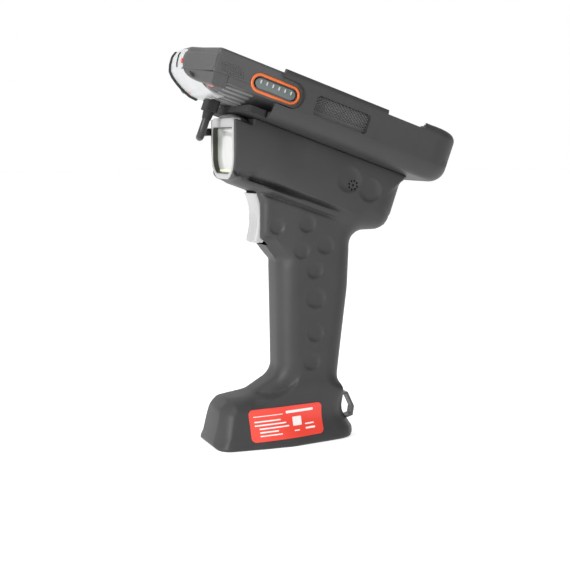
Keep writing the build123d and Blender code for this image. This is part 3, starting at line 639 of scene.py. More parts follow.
            for r in (0.2, 0.46, 0.6):
                ring = np.stack([cu + r * np.cos(few), np.zeros(9), cv + r * np.sin(few)], 1)
                circles.append(LEAN.turn(ring)[:, [0, 2]])
        heights = [122.9, 123.5, 124.0, 124.3, 124.6, 124.9, 125.3, 125.8, 126.4, 127.2, 128.0, 128.6, 129.0,
                   129.35, 129.7, 130.05, 130.4, 130.9, 131.4, 132.0]
        gu, gv = np.meshgrid(np.arange(-70.0, -5.9, 0.9), heights)
        rows = LEAN.turn(np.stack([gu, np.zeros_like(gu), gv], -1).reshape(-1, 3))
        circles.append(rows[:, [0, 2]])
        gx, lift = np.meshgrid(np.arange(-28.0, 9.1, 0.8), [-1.2, -0.6, -0.2, 0.2, 0.6, 1.0, 1.5, 2.1, 2.8, 3.6])
        circles.append(np.stack([gx.ravel(), (self.scoop_line(gx) + lift).ravel()], 1))
        extra = np.concatenate(circles)
        extra = extra[self.inside(extra)]
        extra = extra[self.depth(extra[:, 0], extra[:, 1]) > 0.5]
        near = np.concatenate(rings)
        return np.concatenate([path, near, cells, extra]), len(path)

    def inside(self, points: np.ndarray) -> np.ndarray:
        """Whether each point lies inside the outline, by counting the sides that a ray from it crosses."""
        path, _ = self.outline()
        a, b = path, np.roll(path, -1, axis=0)
        x, z = points[:, 0, None], points[:, 1, None]
        crosses = (a[:, 1] > z) != (b[:, 1] > z)
        with np.errstate(divide="ignore", invalid="ignore"):
            at = a[:, 0] + (z - a[:, 1]) / (b[:, 1] - a[:, 1]) * (b[:, 0] - a[:, 0])
        return (crosses & (x < at)).sum(1) % 2 == 1

    def build(self) -> None:
        """Makes both halves, cuts the trigger's slot and the window's mouth, and hides the plain ones."""
        points, rim = self.field_points()
        edges = [(k, (k + 1) % rim) for k in range(rim)]
        flat, _, tris, *_ = delaunay_2d_cdt([Vector(p) for p in points], edges, [], 1, 1e-4)
        flat = np.array(flat)
        tris = np.array([t for t in tris if len(t) == 3])
        outer = self.surface(flat[:, 0], flat[:, 1])
        inner = np.where(self.depth(flat[:, 0], flat[:, 1]) < self.wall, 0.0, np.maximum(outer - self.wall, 0.0))
        count = len(flat)
        link = np.zeros((0, 3), int)
        pairs = np.concatenate([tris[:, [0, 1]], tris[:, [1, 2]], tris[:, [2, 0]]])
        known = {tuple(p) for p in pairs.tolist()}
        border = np.array([p for p in known if (p[1], p[0]) not in known])
        link = np.concatenate([np.stack([border[:, 1], border[:, 0], border[:, 0] + count], 1),
                               np.stack([border[:, 1], border[:, 0] + count, border[:, 1] + count], 1)])
        cutter = self.cutter()
        for side, sign in (("left", -1.0), ("right", 1.0)):
            skin = np.stack([flat[:, 0], sign * outer, flat[:, 1]], 1)
            back = np.stack([flat[:, 0], sign * np.maximum(inner, 0.02), flat[:, 1]], 1)
            faces = np.concatenate([tris, tris[:, ::-1] + count, link])
            area = np.cross(skin[tris[0, 1]] - skin[tris[0, 0]], skin[tris[0, 2]] - skin[tris[0, 0]])
            if area[1] * sign < 0:
                faces = faces[:, ::-1]
            shell = add_piece(f"housing_shell_{side}", np.concatenate([skin, back]), faces.tolist(),
                              Look.HOUSING, "handle", 32.0)
            cut = shell.modifiers.new("openings", "BOOLEAN")
            cut.operation, cut.solver, cut.object = "DIFFERENCE", "EXACT", cutter
            apply_modifiers(shell)
            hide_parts(f"housing_{side}")
        bpy.data.objects.remove(cutter)

    def cutter(self) -> bpy.types.Object:
        """The trigger's slot, the bezel's seat and the mouth behind it: outlines carried along Z or X."""
        slot = rounded([(-24.0, -8.45, 0), (-6.2, -8.45, 0.6), (-6.2, 8.45, 0.6), (-24.0, 8.45, 0)], 2.0)
        seat = rounded([(-19.55, 144.0, 12.6), (19.55, 144.0, 12.6), (19.55, 181.0, 0), (-19.55, 181.0, 0)], 1.0)
        mouth = rounded([(-16.4, 147.0, 8.0), (16.4, 147.0, 8.0), (16.4, 170.0, 1.0), (-16.4, 170.0, 1.0)], 1.0)
        points, faces, base = [], [], 0
        for path, low, high, along_x in ((slot, 108.4, 137.2, False), (seat, -33.0, -26.95, True),
                                         (mouth, -27.5, -22.0, True)):
            for level in (low, high):
                edge = np.full(len(path), level)
                points.append(np.column_stack([edge, path] if along_x else [path, edge]))
            faces += [[base + k for k in f] for f in tube_faces(2, len(path))]
            base += 2 * len(path)
        mesh = bpy.data.meshes.new("openings")
        mesh.from_pydata((np.concatenate(points) * MM).tolist(), [], faces)
        cutter = bpy.data.objects.new("openings", mesh)
        bpy.context.scene.collection.objects.link(cutter)
        return cutter


def apply_modifiers(piece: bpy.types.Object) -> None:
    """Bakes a piece's modifiers into its mesh and keeps its finish."""
    looks = list(piece.data.materials)
    graph = bpy.context.evaluated_depsgraph_get()
    done = bpy.data.meshes.new_from_object(piece.evaluated_get(graph))
    piece.modifiers.clear()
    old, piece.data = piece.data, done
    bpy.data.meshes.remove(old)
    if not done.materials:
        for look in looks:
            done.materials.append(look)
    done.shade_smooth()
    done.set_sharp_from_angle(angle=math.radians(32.0))


@dataclass
class FootLabel:
    """The red label on the foot's left side, laid on the housing's own surface, with plain white bars.

    Attributes:
        low_left: x and z of its lower front corner.
        along: Its length.
        tall: Its height.
        climb: Its slope along the foot, in degrees.
    """

    pistol: Pistol
    low_left: tuple[float, float] = (-22.6, 4.2)
    along: float = 43.5
    tall: float = 17.0
    climb: float = 1.5
    lean: float = 4.0

    def place(self, a: np.ndarray, b: np.ndarray) -> tuple[np.ndarray, np.ndarray]:
        """x and z of the label's own coordinates a and b, which run along and up it."""
        t = math.radians(self.climb)
        return self.low_left[0] + a * math.cos(t) + b * math.tan(math.radians(-self.lean)), \
            self.low_left[1] + a * math.sin(t) + b

    def sheet(self, name: str, a0: float, a1: float, b0: float, b1: float, corner: float, lift: float,
              look: Look) -> bpy.types.Object:
        """A rounded rectangle laid on the foot's side: rows along it, shorter near its rounded corners.

        Args:
            name: The piece's name.
            a0: Its near end.
            a1: Its far end.
            b0: Its lower edge.
            b1: Its upper edge.
            corner: Radius of its corners.
            lift: How far its face stands off the foot.
            look: Its finish.

        Returns:
            The piece.
        """
        tall, middle = (b1 - b0) / 2, (b0 + b1) / 2
        t = np.sin(np.linspace(-math.pi / 2, math.pi / 2, max(7, int(tall * 3)))) * tall
        past = np.clip((np.abs(t) - (tall - corner)) / corner, 0, 1)
        short = corner * (1 - np.sqrt(1 - past ** 2))
        side = np.linspace(-1, 1, max(9, int((a1 - a0) / 0.8)))
        a = (a0 + a1) / 2 + side[None, :] * ((a1 - a0) / 2 - short[:, None])
        b = np.broadcast_to((middle + t)[:, None], a.shape)
        x, z = self.place(a.ravel(), b.ravel())
        y = self.pistol.surface(x, z)
        points = np.concatenate([np.stack([x, -y - lift, z], 1), np.stack([x, -y + 0.3, z], 1)])
        piece = add_piece(name, points, slab_faces(*a.shape), look, "handle", 50.0)
        face_outwards(piece)
        return piece

    def build(self) -> None:
        """The red film and the white bars that stand for its print."""
        film = self.sheet("label_film", 0, self.along, 0, self.tall, 2.6, 0.28, Look.LABEL)
        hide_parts("base_label")
        bars = [(21.5, 38.0, 13.2, 14.6), (2.4, 19.5, 13.1, 13.5), (2.6, 18.0, 10.2, 10.9), (2.6, 21.0, 8.3, 9.0),
                (5.0, 22.5, 6.4, 7.1), (5.0, 16.0, 4.5, 5.2), (5.0, 18.0, 2.7, 3.3), (25.0, 30.4, 6.2, 11.0),
                (25.4, 28.6, 3.4, 4.0), (32.4, 38.0, 6.0, 6.7), (32.4, 38.4, 3.6, 4.6)]
        for k, (a0, a1, b0, b1) in enumerate(bars):
            self.sheet(f"label_bar_{k}", a0, a1, b0, b1, min(0.35, (b1 - b0) * 0.45), 0.36, Look.MARKS)


# ------------------------------------------------------------------ the scanner's face
@dataclass
class ScannerFace:
    """The light bezel and the window behind it."""

    front: float = -31.5
    back: float = -27.0
    half: float = 19.5
    low: float = 143.9
    top: float = 176.2
    mouth_half: float = 17.7
    mouth_low: float = 146.8
    mouth_top: float = 171.2
    rays: int = 220
    pane_depth: float = 3.0

    def build(self) -> None:
        """A frame swept round the mouth: across it, a rounded front, then a wall that leans in to the window."""
        outer = rounded([(-self.half, self.low, 13.0), (self.half, self.low, 13.0), (self.half, self.top, 3.0),
                         (-self.half, self.top, 3.0)], 0.8)
        inner = rounded([(-self.mouth_half, self.mouth_low, 9.0), (self.mouth_half, self.mouth_low, 9.0),
                         (self.mouth_half, self.mouth_top, 1.5), (-self.mouth_half, self.mouth_top, 1.5)], 0.8)
        middle = np.array([0.0, (self.mouth_low + self.mouth_top) / 2])
        angle = np.linspace(0, 2 * math.pi, self.rays, endpoint=False)

        def by_angle(path: np.ndarray) -> np.ndarray:
            """The outline's points on rays from the middle."""
            a = np.unwrap(np.arctan2(*(path - middle)[:, ::-1].T))
            r = np.linalg.norm(path - middle, axis=1)
            if a[-1] < a[0]:
                a, r = a[::-1], r[::-1]
            far = np.interp(angle, a - a[0], r, period=2 * math.pi)
            return middle + np.stack([np.cos(angle + a[0]), np.sin(angle + a[0])], 1) * far[:, None]

        outer, inner = by_angle(outer), by_angle(inner)
        depth = self.back - self.front
        profile = [(0.0, depth - 0.05), (0.0, 0.7), (0.06, 0.25), (0.16, 0.05), (0.30, 0.0), (0.75, 0.0),
                   (0.90, 0.08), (0.97, 0.3), (1.0, 0.6), (1.0, depth - 1.2), (0.75, depth - 1.2),
                   (0.75, depth - 0.05)]
        rings = []
        for share, deep in profile:
            ring = outer + (inner - outer) * share
            rings.append(np.column_stack([np.full(len(ring), self.front + deep), ring]))
        piece = add_piece("bezel", np.concatenate(rings), tube_faces(len(rings), self.rays, loop=True),
                          Look.LIGHT, "handle", 40.0)
        face_outwards(piece)
        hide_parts("scanner_bezel")

        # painted shade: a dark sheet over the bezel's inner wall, for the shade inside the mouth
        lining = [np.column_stack([np.full(len(inner), self.front + deep), inner + (middle - inner) * share])
                  for share, deep in ((-0.004, 0.45), (0.018, 0.45), (0.018, depth - 1.25), (-0.004, depth - 1.25))]
        lined = add_piece("mouth_painted_shade", np.concatenate(lining), tube_faces(4, self.rays, loop=True), Look.MOUTH_SHADE,
                          "handle", 40.0)
        face_outwards(lined)

        pane = [np.column_stack([np.full(len(inner), self.front + deep), inner + (middle - inner) * share])
                for share, deep in ((0.02, self.pane_depth + 0.4), (0.02, self.pane_depth + 0.05),
                                    (0.03, self.pane_depth), (0.4, self.pane_depth), (0.95, self.pane_depth))]
        glass = add_piece("window_pane", np.concatenate(pane), tube_faces(5, self.rays), Look.WINDOW, "handle", 40.0)
        face_outwards(glass)
        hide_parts("scanner_window")

        tint = rounded([(-13.0, 147.6, 0.5), (13.0, 147.6, 0.5), (13.0, 148.9, 0.5), (-13.0, 148.9, 0.5)], 0.5)
        strip, faces = pillow(tint, 0.0, 0.25, 0.15)
        strip = np.column_stack([self.front + self.pane_depth - strip[:, 2], strip[:, :2]])
        tinted = add_piece("lamp_strip", strip, faces, Look.LAMP, "handle", 50.0)
        face_outwards(tinted)


def face_outwards(piece: bpy.types.Object) -> None:
    """Turns the faces of a closed piece outwards, going by the sign of its volume."""
    mesh = piece.data
    mesh.calc_loop_triangles()
    points = np.empty(len(mesh.vertices) * 3)
    mesh.vertices.foreach_get("co", points)
    corners = np.empty(len(mesh.loop_triangles) * 3, int)
    mesh.loop_triangles.foreach_get("vertices", corners)
    a, b, c = points.reshape(-1, 3)[corners.reshape(-1, 3)].transpose(1, 0, 2)
    if np.einsum("ij,ij->i", a, np.cross(b, c)).sum() < 0:
        mesh.flip_normals()


# ------------------------------------------------------------------ the trigger
@dataclass
class Trigger:
    """The light trigger: level sections with rounded front corners, on a hollow front line."""

    half: float = 8.0
    low: float = 109.7
    high: float = 136.2
    coil_start: tuple[float, float, float] = (-9.5, 0.0, 121.5)
    coil_long: float = 6.5
    coil_radius: float = 2.2
    wire_radius: float = 0.3
    coil_turns: int = 5

    def build(self) -> None:
        """Rings from the foot of the trigger to its root; each is a rounded U that is open to the back."""
        z = np.concatenate([[self.low], self.low + 1.2 * (1 - np.cos(np.linspace(0.3, math.pi / 2, 5))) / 1.0,
                            np.linspace(self.low + 2.2, self.high, 26)])
        front = through(z, [(109.7, -17.0), (113, -16.3), (117, -15.5), (122.5, -14.9), (127, -15.2),
                            (132.4, -16.3), (136.2, -17.8)])
        back = through(z, [(109.7, -11.4), (112, -10.6), (127, -10.5), (131, -10.4), (136.2, -10.4)])
        corner = 3.0
        tip = np.clip((z - self.low) / 1.2, 0, 1)
        shrink = 1.1 * (1 - np.sqrt(1 - (1 - tip) ** 2))
        a = np.linspace(0, math.pi / 2, 8)
        rings = []
        for k in range(len(z)):
            half, x0 = self.half - shrink[k], front[k] + shrink[k]
            crown = 0.5
            right = np.stack([x0 + crown + corner * (1 - np.sin(a)), half - corner + corner * np.cos(a)], 1)
            across = np.linspace(half - corner, corner - half, 9)[1:-1]
            face = np.stack([x0 + crown * (across / (half - corner)) ** 2, across], 1)
            left = right[::-1] * [1, -1]
            rear = np.array([(back[k], -half), (back[k], half)])
            ring = np.concatenate([right, face, left, rear])
            rings.append(np.column_stack([ring, np.full(len(ring), z[k])]))
        count = len(rings[0])
        piece = add_piece("trigger_blade", np.concatenate(rings), tube_faces(len(rings), count), Look.LIGHT,
                          "trigger", 45.0)
        face_outwards(piece)
        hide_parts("trigger")
        self.spring()

    def spring(self) -> None:
        """The coil behind the trigger: a round wire along a helix."""
        t = np.linspace(0, 2 * math.pi * self.coil_turns, 241)
        out = np.stack([np.zeros_like(t), np.cos(t), np.sin(t)], 1)
        line = np.array(self.coil_start) + self.coil_radius * out
        line[:, 0] += self.coil_long * t / t[-1]
        ahead = np.gradient(line, axis=0)
        other = np.cross(ahead / np.linalg.norm(ahead, axis=1, keepdims=True), out)
        angle = np.linspace(0, 2 * math.pi, 8, endpoint=False)[None, :, None]
        rings = line[:, None] + self.wire_radius * (out[:, None] * np.cos(angle) + other[:, None] * np.sin(angle))
        piece = add_piece("spring_coil", rings.reshape(-1, 3), tube_faces(len(t), 8), Look.STEEL, "handle", 60.0)
        face_outwards(piece)
        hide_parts("trigger_spring")
        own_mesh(piece)


# ------------------------------------------------------------------ keys on the handheld's sides
@dataclass
class SideKey:
    """A scan key with its orange ring, on one side of the handheld."""

    side: str
    sign: float
    out: float = 39.0
    middle: tuple[float, float] = (-77.5, 174.2)

    def build(self) -> None:
        """A ring of round section along a slot's outline, and a pillow-shaped key with six ribs."""
        outline = stadium(26.0, 8.5, 120)
        normal = np.roll(outline, -1, axis=0) - np.roll(outline, 1, axis=0)
        normal = np.stack([normal[:, 1], -normal[:, 0]], 1) / np.linalg.norm(normal, axis=1, keepdims=True)
        rings = []
        for angle in np.linspace(0, 2 * math.pi, 12, endpoint=False):
            wide, high = 0.78 * math.cos(angle), 0.60 * math.sin(angle)
            rings.append(np.column_stack([outline + normal * wide, np.full(120, high)]))
        points = np.stack(rings, 1).reshape(-1, 3)
        points[:, :2] += self.middle
        ring = add_piece(f"ring_{self.side}", LEAN.turn(on_side(points, self.sign, self.out - 0.05)),
                         tube_faces(120, 12, loop=True), Look.ORANGE, "handle", 60.0)
        face_outwards(ring)
        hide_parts(f"key_ring_{self.side}")

        points, faces = pillow(stadium(22.6, 5.4, 96), -1.6, 0.15, 0.5, 0.15)
        points[:, :2] += self.middle
        key = add_piece(f"key_{self.side}", LEAN.turn(on_side(points, self.sign, self.out - 0.2)), faces, Look.KEY,
                        f"scan_key_{self.side}", 45.0)
        face_outwards(key)
        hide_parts(f"scan_key_{self.side}")
        blocks, groups = [], []
        for k in range(6):
            base = sum(len(b) for b in blocks)
            rib, rib_faces = pillow(rounded([(-0.42, -1.0, 0.4), (0.42, -1.0, 0.4), (0.42, 1.0, 0.4),
                                             (-0.42, 1.0, 0.4)], 0.15), 0.0, 0.72, 0.3)
            rib[:, :2] += np.array(self.middle) + [3.4 * (k - 2.5), 0.85]
            blocks.append(rib)
            groups.append([[base + int(n) for n in f] for f in rib_faces])
        # painted highlight: the ribs are pale grey to stand for the glints on their tops
        ribs = add_piece(f"key_ribs_{self.side}",
                         LEAN.turn(on_side(np.concatenate(blocks), self.sign, self.out - 0.2)),
                         [f for g in groups for f in g], Look.RIB_HIGHLIGHT, f"scan_key_{self.side}", 45.0)
        face_outwards(ribs)


# ------------------------------------------------------------------ the handheld's nose and side relief
@dataclass
class Nose:
    """The nose, whose visor's pale grey is a painted highlight along its lower chamfer, with its black rim, the grey
    cheek over it, the knurled patches and the ribs below.

    Attributes:
        profile: u and v down the front of the nose and back along its underside.
        facets: u and y of the near half of the handheld's front, from its shoulder to the middle. Not used.
    """

    profile: list = field(default_factory=lambda: [
        (-119.6, 182.6), (-120.7, 179.0), (-120.3, 175.0), (-119.2, 171.5), (-116.8, 169.2), (-113.0, 166.8),
        (-108.5, 164.5), (-104.0, 162.9), (-99.0, 162.3)])
    facets: list = field(default_factory=lambda: [(-111.4, -39.0), (-115.5, -17.5), (-118.5, -7.0), (-118.5, 0.0)])

    def front_line(self, count: int) -> np.ndarray:
        """The nose's profile as evenly spread points (u, v), round at its bends."""
        return rounded([(u, v, 3.0) for u, v in self.profile], 0.45, closed=False)[:count]

    def tube(self, name: str, route: np.ndarray, radius: float, look: Look) -> bpy.types.Object:
        """A round bead along a route in (u, y, v): rings square to the route, with half round ends.

        Args:
            name: The piece's name.
            route: Points in (u, y, v).
            radius: Radius of the bead.
            look: Its finish.

        Returns:
            The piece.
        """
        ahead = np.gradient(route, axis=0)
        ahead /= np.linalg.norm(ahead, axis=1, keepdims=True)
        side = np.cross(ahead, [0.0, 1.0, 0.0])
        side /= np.linalg.norm(side, axis=1, keepdims=True)
        other = np.cross(ahead, side)
        size = np.full(len(route), radius)
        size[[0, -1]], size[[1, -2]] = radius * 0.35, radius * 0.85
        angle = np.linspace(0, 2 * math.pi, 14, endpoint=False)
        rings = route[:, None] + size[:, None, None] * (side[:, None] * np.cos(angle)[None, :, None]
                                                        + other[:, None] * np.sin(angle)[None, :, None])
        piece = add_piece(name, LEAN.turn(rings.reshape(-1, 3)), tube_faces(len(route), 14), look, "handle", 60.0)
        face_outwards(piece)
        return piece

    def build(self) -> None:
        """The visor, its rim, a black bead of painted shade in its groove, the cheeks, the accents and the relief."""
        line = self.front_line(400)
        along = np.linspace(0, 1, len(line))
        near = -7.0 - 14.0 * smooth_step(-173.0, -167.0, -line[:, 1])
        shells = []
        for part in np.linspace(0.0, 1.0, 17):
            y = near + part * (21.0 - near)
            fall = np.abs(2 * part - 1) ** 3
            outer = np.column_stack([line[:, 0] + 0.5 + fall * 1.6 * (1 - along), y, line[:, 1] + fall * 0.5 * along])
            inner = outer + np.column_stack([np.full(len(line), 2.4), np.zeros(len(line)), 0.9 + 0.6 * along])
            shells.append(np.concatenate([outer, inner[::-1]]))
        # painted highlight: the visor is pale grey to stand for the glint along the nose's lower chamfer
        visor = add_piece("nose_visor", LEAN.turn(np.concatenate(shells)), tube_faces(17, len(shells[0])), Look.NOSE_HIGHLIGHT,
                          "handle", 50.0)
        face_outwards(visor)
        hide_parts("nose_accents")
        rim = np.column_stack([line[:, 0] + 1.6 * (1 - along), np.full(len(line), 20.0), line[:, 1] + 0.2 * along])
        bead = self.tube("nose_rim", rim, 1.0, Look.RUBBER)
        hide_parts("nose_bumper")
        # painted shade: a black bead stands for the shadow in the gap beside the visor
        groove = line[4:24]
        self.tube("nose_groove_shade", np.column_stack([groove[:, 0] + 0.55, np.full(20, 4.0), groove[:, 1]]), 0.6,
                  Look.RUBBER)
        self.cheek("left", -1.0, -5.0, [(-38.6, 164.6), (-28.0, 165.3), (-17.5, 166.8), (-11.0, 168.6), (-8.0, 170.2),
                                        (-5.0, 174.0)])
        self.cheek("right", 1.0, -20.0, [(-38.6, 165.2), (-20.0, 165.0)], 6.5)
        self.belly()
        spots = [((-119.9, -4.2, 177.2), (-119.6, -4.2, 174.4)), ((-106.9, 14.2, 164.6), (-104.7, 13.2, 164.0)),
                 ((-107.3, -21.0, 166.5), (-106.0, -31.0, 165.8))]
        for k, (start, end) in enumerate(spots):
            self.tube(f"nose_accent_{k}", np.linspace(start, end, 6), 0.7, Look.RED)
        # painted shade: a black bead stands for the shade inside the small hole in the cheek
        self.tube("cheek_hole_shade", np.linspace((-117.2, -17.0, 170.2), (-115.6, -21.0, 167.6), 6), 0.7, Look.RUBBER)
        for sign, side in ((-1.0, "left"), (1.0, "right")):
            self.knurl(sign, side)
            self.underside_ribs(sign, side)

    def cheek(self, side: str, sign: float, end: float, edge: list, slope: float = 0.0) -> None:
        """A grey cheek over one half of the front, from the screen's rim down to a curved lower edge.

        Its front follows the facets across, leans in towards both ends of its height, and dips by
        0.4 * exp(-((v - 171.6) / 0.3)^2) at the parting line.

        Args:
            side: Its name's ending.
            sign: Which side it is on, -1 or 1.
            end: Its inner end, as y on the near side.
            edge: Its lower edge, as points (y, v).
            slope: How far its foot stands behind the parting line.
        """
        y = np.linspace(-38.6, end, 40)[:, None]
        uf = np.interp(y, [-38.6, -17.5, -7.0, -1.0], [-111.8, -116.9, -119.6, -120.2])
        low = through(y.ravel(), edge)[:, None]
        v = 182.3 - (182.3 - low) * np.linspace(0, 1, 60)
        lean = through(v.ravel(), [(164.0, 1.9), (168.0, 1.4), (171.5, 1.0), (175.0, 0.35), (178.8, 0.0),
                                   (181.2, 0.9), (182.3, 2.6)]).reshape(v.shape)
        dip = 0.4 * np.exp(-((v - 171.6) / 0.3) ** 2)
        tuck = 1.2 * (1 - np.sqrt(1 - np.clip((low + 1.2 - v) / 1.2, 0, 1) ** 2))
        u = uf + lean + dip + tuck + slope * np.clip((171.5 - v) / 6.5, 0, 1) ** 0.8
        u = np.concatenate([uf + 9.0, u, uf + 9.0], 1)
        v = np.concatenate([np.full_like(low, 182.3), v, low + 0.5], 1)
        rings = np.stack([u, np.broadcast_to(-sign * y, u.shape), v], -1)
        piece = add_piece(f"nose_cheek_{side}", LEAN.turn(rings.reshape(-1, 3)), tube_faces(*u.shape), Look.HANDHELD,
                          "handle", 40.0)
        face_outwards(piece)
        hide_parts("phone_nose_cap")

    def belly(self) -> None:
        """The handheld's back: sections (y, v), level in the middle and sloping up to the sides, carried along u.

        The lower line is v = 163 + 5.2 * step(|y|) with the step from |y| = 15 to 40; the front is cut to the facets.
        """
        y = np.linspace(-39.0, 39.0, 53)
        low = 163.05 + 5.2 * smooth_step(13.0, 41.0, np.abs(y))
        front = np.interp(np.abs(y), [0.0, 19.5, 22.5, 39.0], [-99.5, -99.5, -106.0, -102.6])
        section_y, section_v = np.concatenate([y, y[::-1]]), np.concatenate([low, np.full(53, 171.6)])
        start = np.concatenate([front, front[::-1]])
        rings = []
        for share in (0.0, 0.004, 0.02, 0.5, 0.97, 0.992, 1.0):
            tuck = 0.8 * (1 - math.sqrt(1 - max(0.0, 1 - min(share, 1 - share) / 0.008) ** 2))
            rise = np.where(section_v < 171.5, tuck, 0.0)
            rings.append(np.column_stack([start + share * (26.9 - start), section_y, section_v + rise]))
        piece = add_piece("handheld_back", LEAN.turn(np.concatenate(rings)), tube_faces(7, 106), Look.HANDHELD,
                          "handle", 40.0)
        face_outwards(piece)
        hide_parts("phone_back", "phone_screws")

    def knurl(self, sign: float, side: str) -> None:
        """Small four-sided points in a leaning patch on the handheld's side: rows and columns on a skewed grid."""
        i, j = np.meshgrid(np.arange(9), np.arange(6), indexing="ij")
        u = -108.6 + 1.42 * i + 0.35 * (5 - j) + 0.1
        v = 172.1 + 1.02 * j + 0.10 * i
        keep = (v < 177.9 - np.maximum(0, (u + 99.0)) * 0.6) & (v > 171.9 + np.maximum(0, (-104.0 - u)) * 0.25)
        across = LEAN.turn(np.stack([u, 0 * u, v], -1))[..., 0]
        if sign > 0:
            key_low, key_high = (c.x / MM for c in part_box("power_key"))
            keep &= (across < key_low - 1.2) | (across > key_high + 1.2)
        u, v = u[keep], v[keep]
        du = np.array([-0.62, 0.10, 0.62, -0.10, 0.0])
        dv = np.array([-0.10, -0.46, 0.10, 0.46, 0.0])
        out = np.array([-0.1, -0.1, -0.1, -0.1, 0.42])
        points = np.stack([u[:, None] + du, sign * (39.0 + out) + 0 * u[:, None], v[:, None] + dv], -1)
        base = np.arange(len(u))[:, None, None] * 5
        one = np.array([[0, 1, 4], [1, 2, 4], [2, 3, 4], [3, 0, 4]])
        back = (np.arange(len(u))[:, None] * 5 + np.array([3, 2, 1, 0])).tolist()
        piece = add_piece(f"knurl_{side}", LEAN.turn(points.reshape(-1, 3)),
                          (base + one).reshape(-1, 3).tolist() + back, Look.HANDHELD, "handle", 10.0)
        face_outwards(piece)

    def underside_ribs(self, sign: float, side: str) -> None:
        """Six ribs along the underside, behind the nose; their light grey is a painted highlight."""
        blocks, faces = [], []
        front = -101.5 if sign < 0 else -96.5
        for k in range(6):
            rib, rib_faces = pillow(rounded([(front, -0.9, 0.8), (-86.0, -0.9, 0.8), (-86.0, 0.9, 0.8),
                                             (front, 0.9, 0.8)], 0.5), 0.0, 0.8, 0.4)
            base = sum(len(b) for b in blocks)
            across = 9.0 + 5.0 * k + rib[:, 1]
            under = 163.2 + 5.2 * smooth_step(13.0, 41.0, np.abs(across))
            blocks.append(np.stack([rib[:, 0], sign * across, under - rib[:, 2]], 1))
            faces += [[base + int(n) for n in f] for f in rib_faces]
        piece = add_piece(f"underside_ribs_{side}", LEAN.turn(np.concatenate(blocks)), faces, Look.CAP_HIGHLIGHT, "handle",
                          45.0)
        face_outwards(piece)


@dataclass
class GripPanel:
    """The knurled rubber panel in a side of the handheld, seen through the cradle's window."""

    side: str
    sign: float
    low_u: float = -56.2
    high_u: float = -23.3
    low_v: float = 167.9
    high_v: float = 179.9
    out: float = 39.0

    def build(self) -> None:
        """A grid whose height is the larger of two crossing sets of ridges, |sin| of u + v and u - v."""
        u = np.linspace(self.low_u, self.high_u, 150)
        v = np.linspace(self.low_v, self.high_v, 56)
        gu, gv = np.meshgrid(u, v)
        ridge = np.maximum(np.abs(np.sin((gu + 1.3 * gv) * 1.55)), np.abs(np.sin((gu - 1.3 * gv) * 1.55)))
        edge = np.minimum(np.minimum(gu - self.low_u, self.high_u - gu),
                          np.minimum(gv - self.low_v, self.high_v - gv))
        height = -0.45 + 0.55 * ridge ** 3 * smooth_step(0.0, 0.8, edge)
        top = np.stack([gu, self.sign * (self.out + height), gv], -1).reshape(-1, 3)
        base = np.stack([gu, np.full_like(gu, self.sign * (self.out - 0.68)), gv], -1).reshape(-1, 3)
        piece = add_piece(f"panel_{self.side}", LEAN.turn(np.concatenate([top, base])), slab_faces(*gu.shape),
                          Look.PANEL, "handle", 30.0)
        face_outwards(piece)
        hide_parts(f"side_panel_{self.side}")


@dataclass
class RoofCap:
    """The cap on the head's roof, ahead of the cradle, in a pale grey that is a painted highlight for light off the
    head's rounded top.
    """

    middle_u: float = -81.6
    half_u: float = 6.4
    half_y: float = 13.6
    base_v: float = 156.0
    rise: float = 3.5

    def build(self) -> None:
        """Rings of a superellipse of power 3, whose height falls as (1 - ring^3)^(1/2)."""
        angle = np.linspace(0, 2 * math.pi, 72, endpoint=False)
        c, s = np.cos(angle), np.sin(angle)
        shape = (np.abs(c) ** 3 + np.abs(s) ** 3) ** (-1 / 3)
        rings = [(1.0, 0.0)] + [(math.sin(t), self.rise * math.cos(t) ** 0.8) for t in
                                np.linspace(math.pi / 2 - 0.08, 0.06, 12)]
        layers = [np.column_stack([self.middle_u + self.half_u * r * shape * c, self.half_y * r * shape * s,
                                   np.full(72, self.base_v + h)]) for r, h in rings]
        piece = add_piece("roof_cap", LEAN.turn(np.concatenate(layers)), tube_faces(len(layers), 72), Look.CAP_HIGHLIGHT,
                          "handle", 50.0)
        face_outwards(piece)
        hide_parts("head_top_cap")


# ------------------------------------------------------------------ the lead
@dataclass
class Lead:
    """The short lead from the socket in the handheld's back to the far side of the head."""

    radius: float = 2.1
    relief_low: float = 152.2

    def build(self) -> bpy.types.Object:
        """The cord as a spline through the route's points."""
        start = LEAN.turn(np.array([-96.0, 1.5, self.relief_low]))
        down = LEAN.turn(np.array([0.0, 0.0, -1.0]))
        route = [start, start + down * 9.2, (-40.6, 12.0, 165.6), (-35.4, 22.0, 169.6), (-25.5, 24.6, 168.5)]
        curve = bpy.data.curves.new("lead", "CURVE")
        curve.dimensions, curve.bevel_depth, curve.bevel_resolution = "3D", self.radius * MM, 8
        curve.use_fill_caps, curve.resolution_u = True, 24
        spline = curve.splines.new("NURBS")
        spline.points.add(len(route) - 1)
        for point, place in zip(spline.points, route):
            point.co = (*(float(c) * MM for c in place), 1.0)
        spline.order_u = 3
        spline.use_endpoint_u = True
        lead = bpy.data.objects.new("lead", curve)
        bpy.context.scene.collection.objects.link(lead)
        curve.materials.append(Look.SHEATH.value.material())
        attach(lead, "handle")
        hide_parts("cord")
        sample = bpy.data.objects.new("measure", curve.copy())
        sample.data.bevel_depth = 0.0
        line = bpy.data.meshes.new_from_object(sample)
        bpy.data.objects.remove(sample)
        return lead


# ------------------------------------------------------------------ CAD nodes that keep their shape
def dress_nodes() -> None:
    """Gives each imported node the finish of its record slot."""
    for entry in frame["record"]["subparts"]:
        node = frame["nodes"][entry["node"]]
        look = SLOT_LOOK[entry["material_slot"]].value.material()
        node.data.materials.clear()
        node.data.materials.append(look)


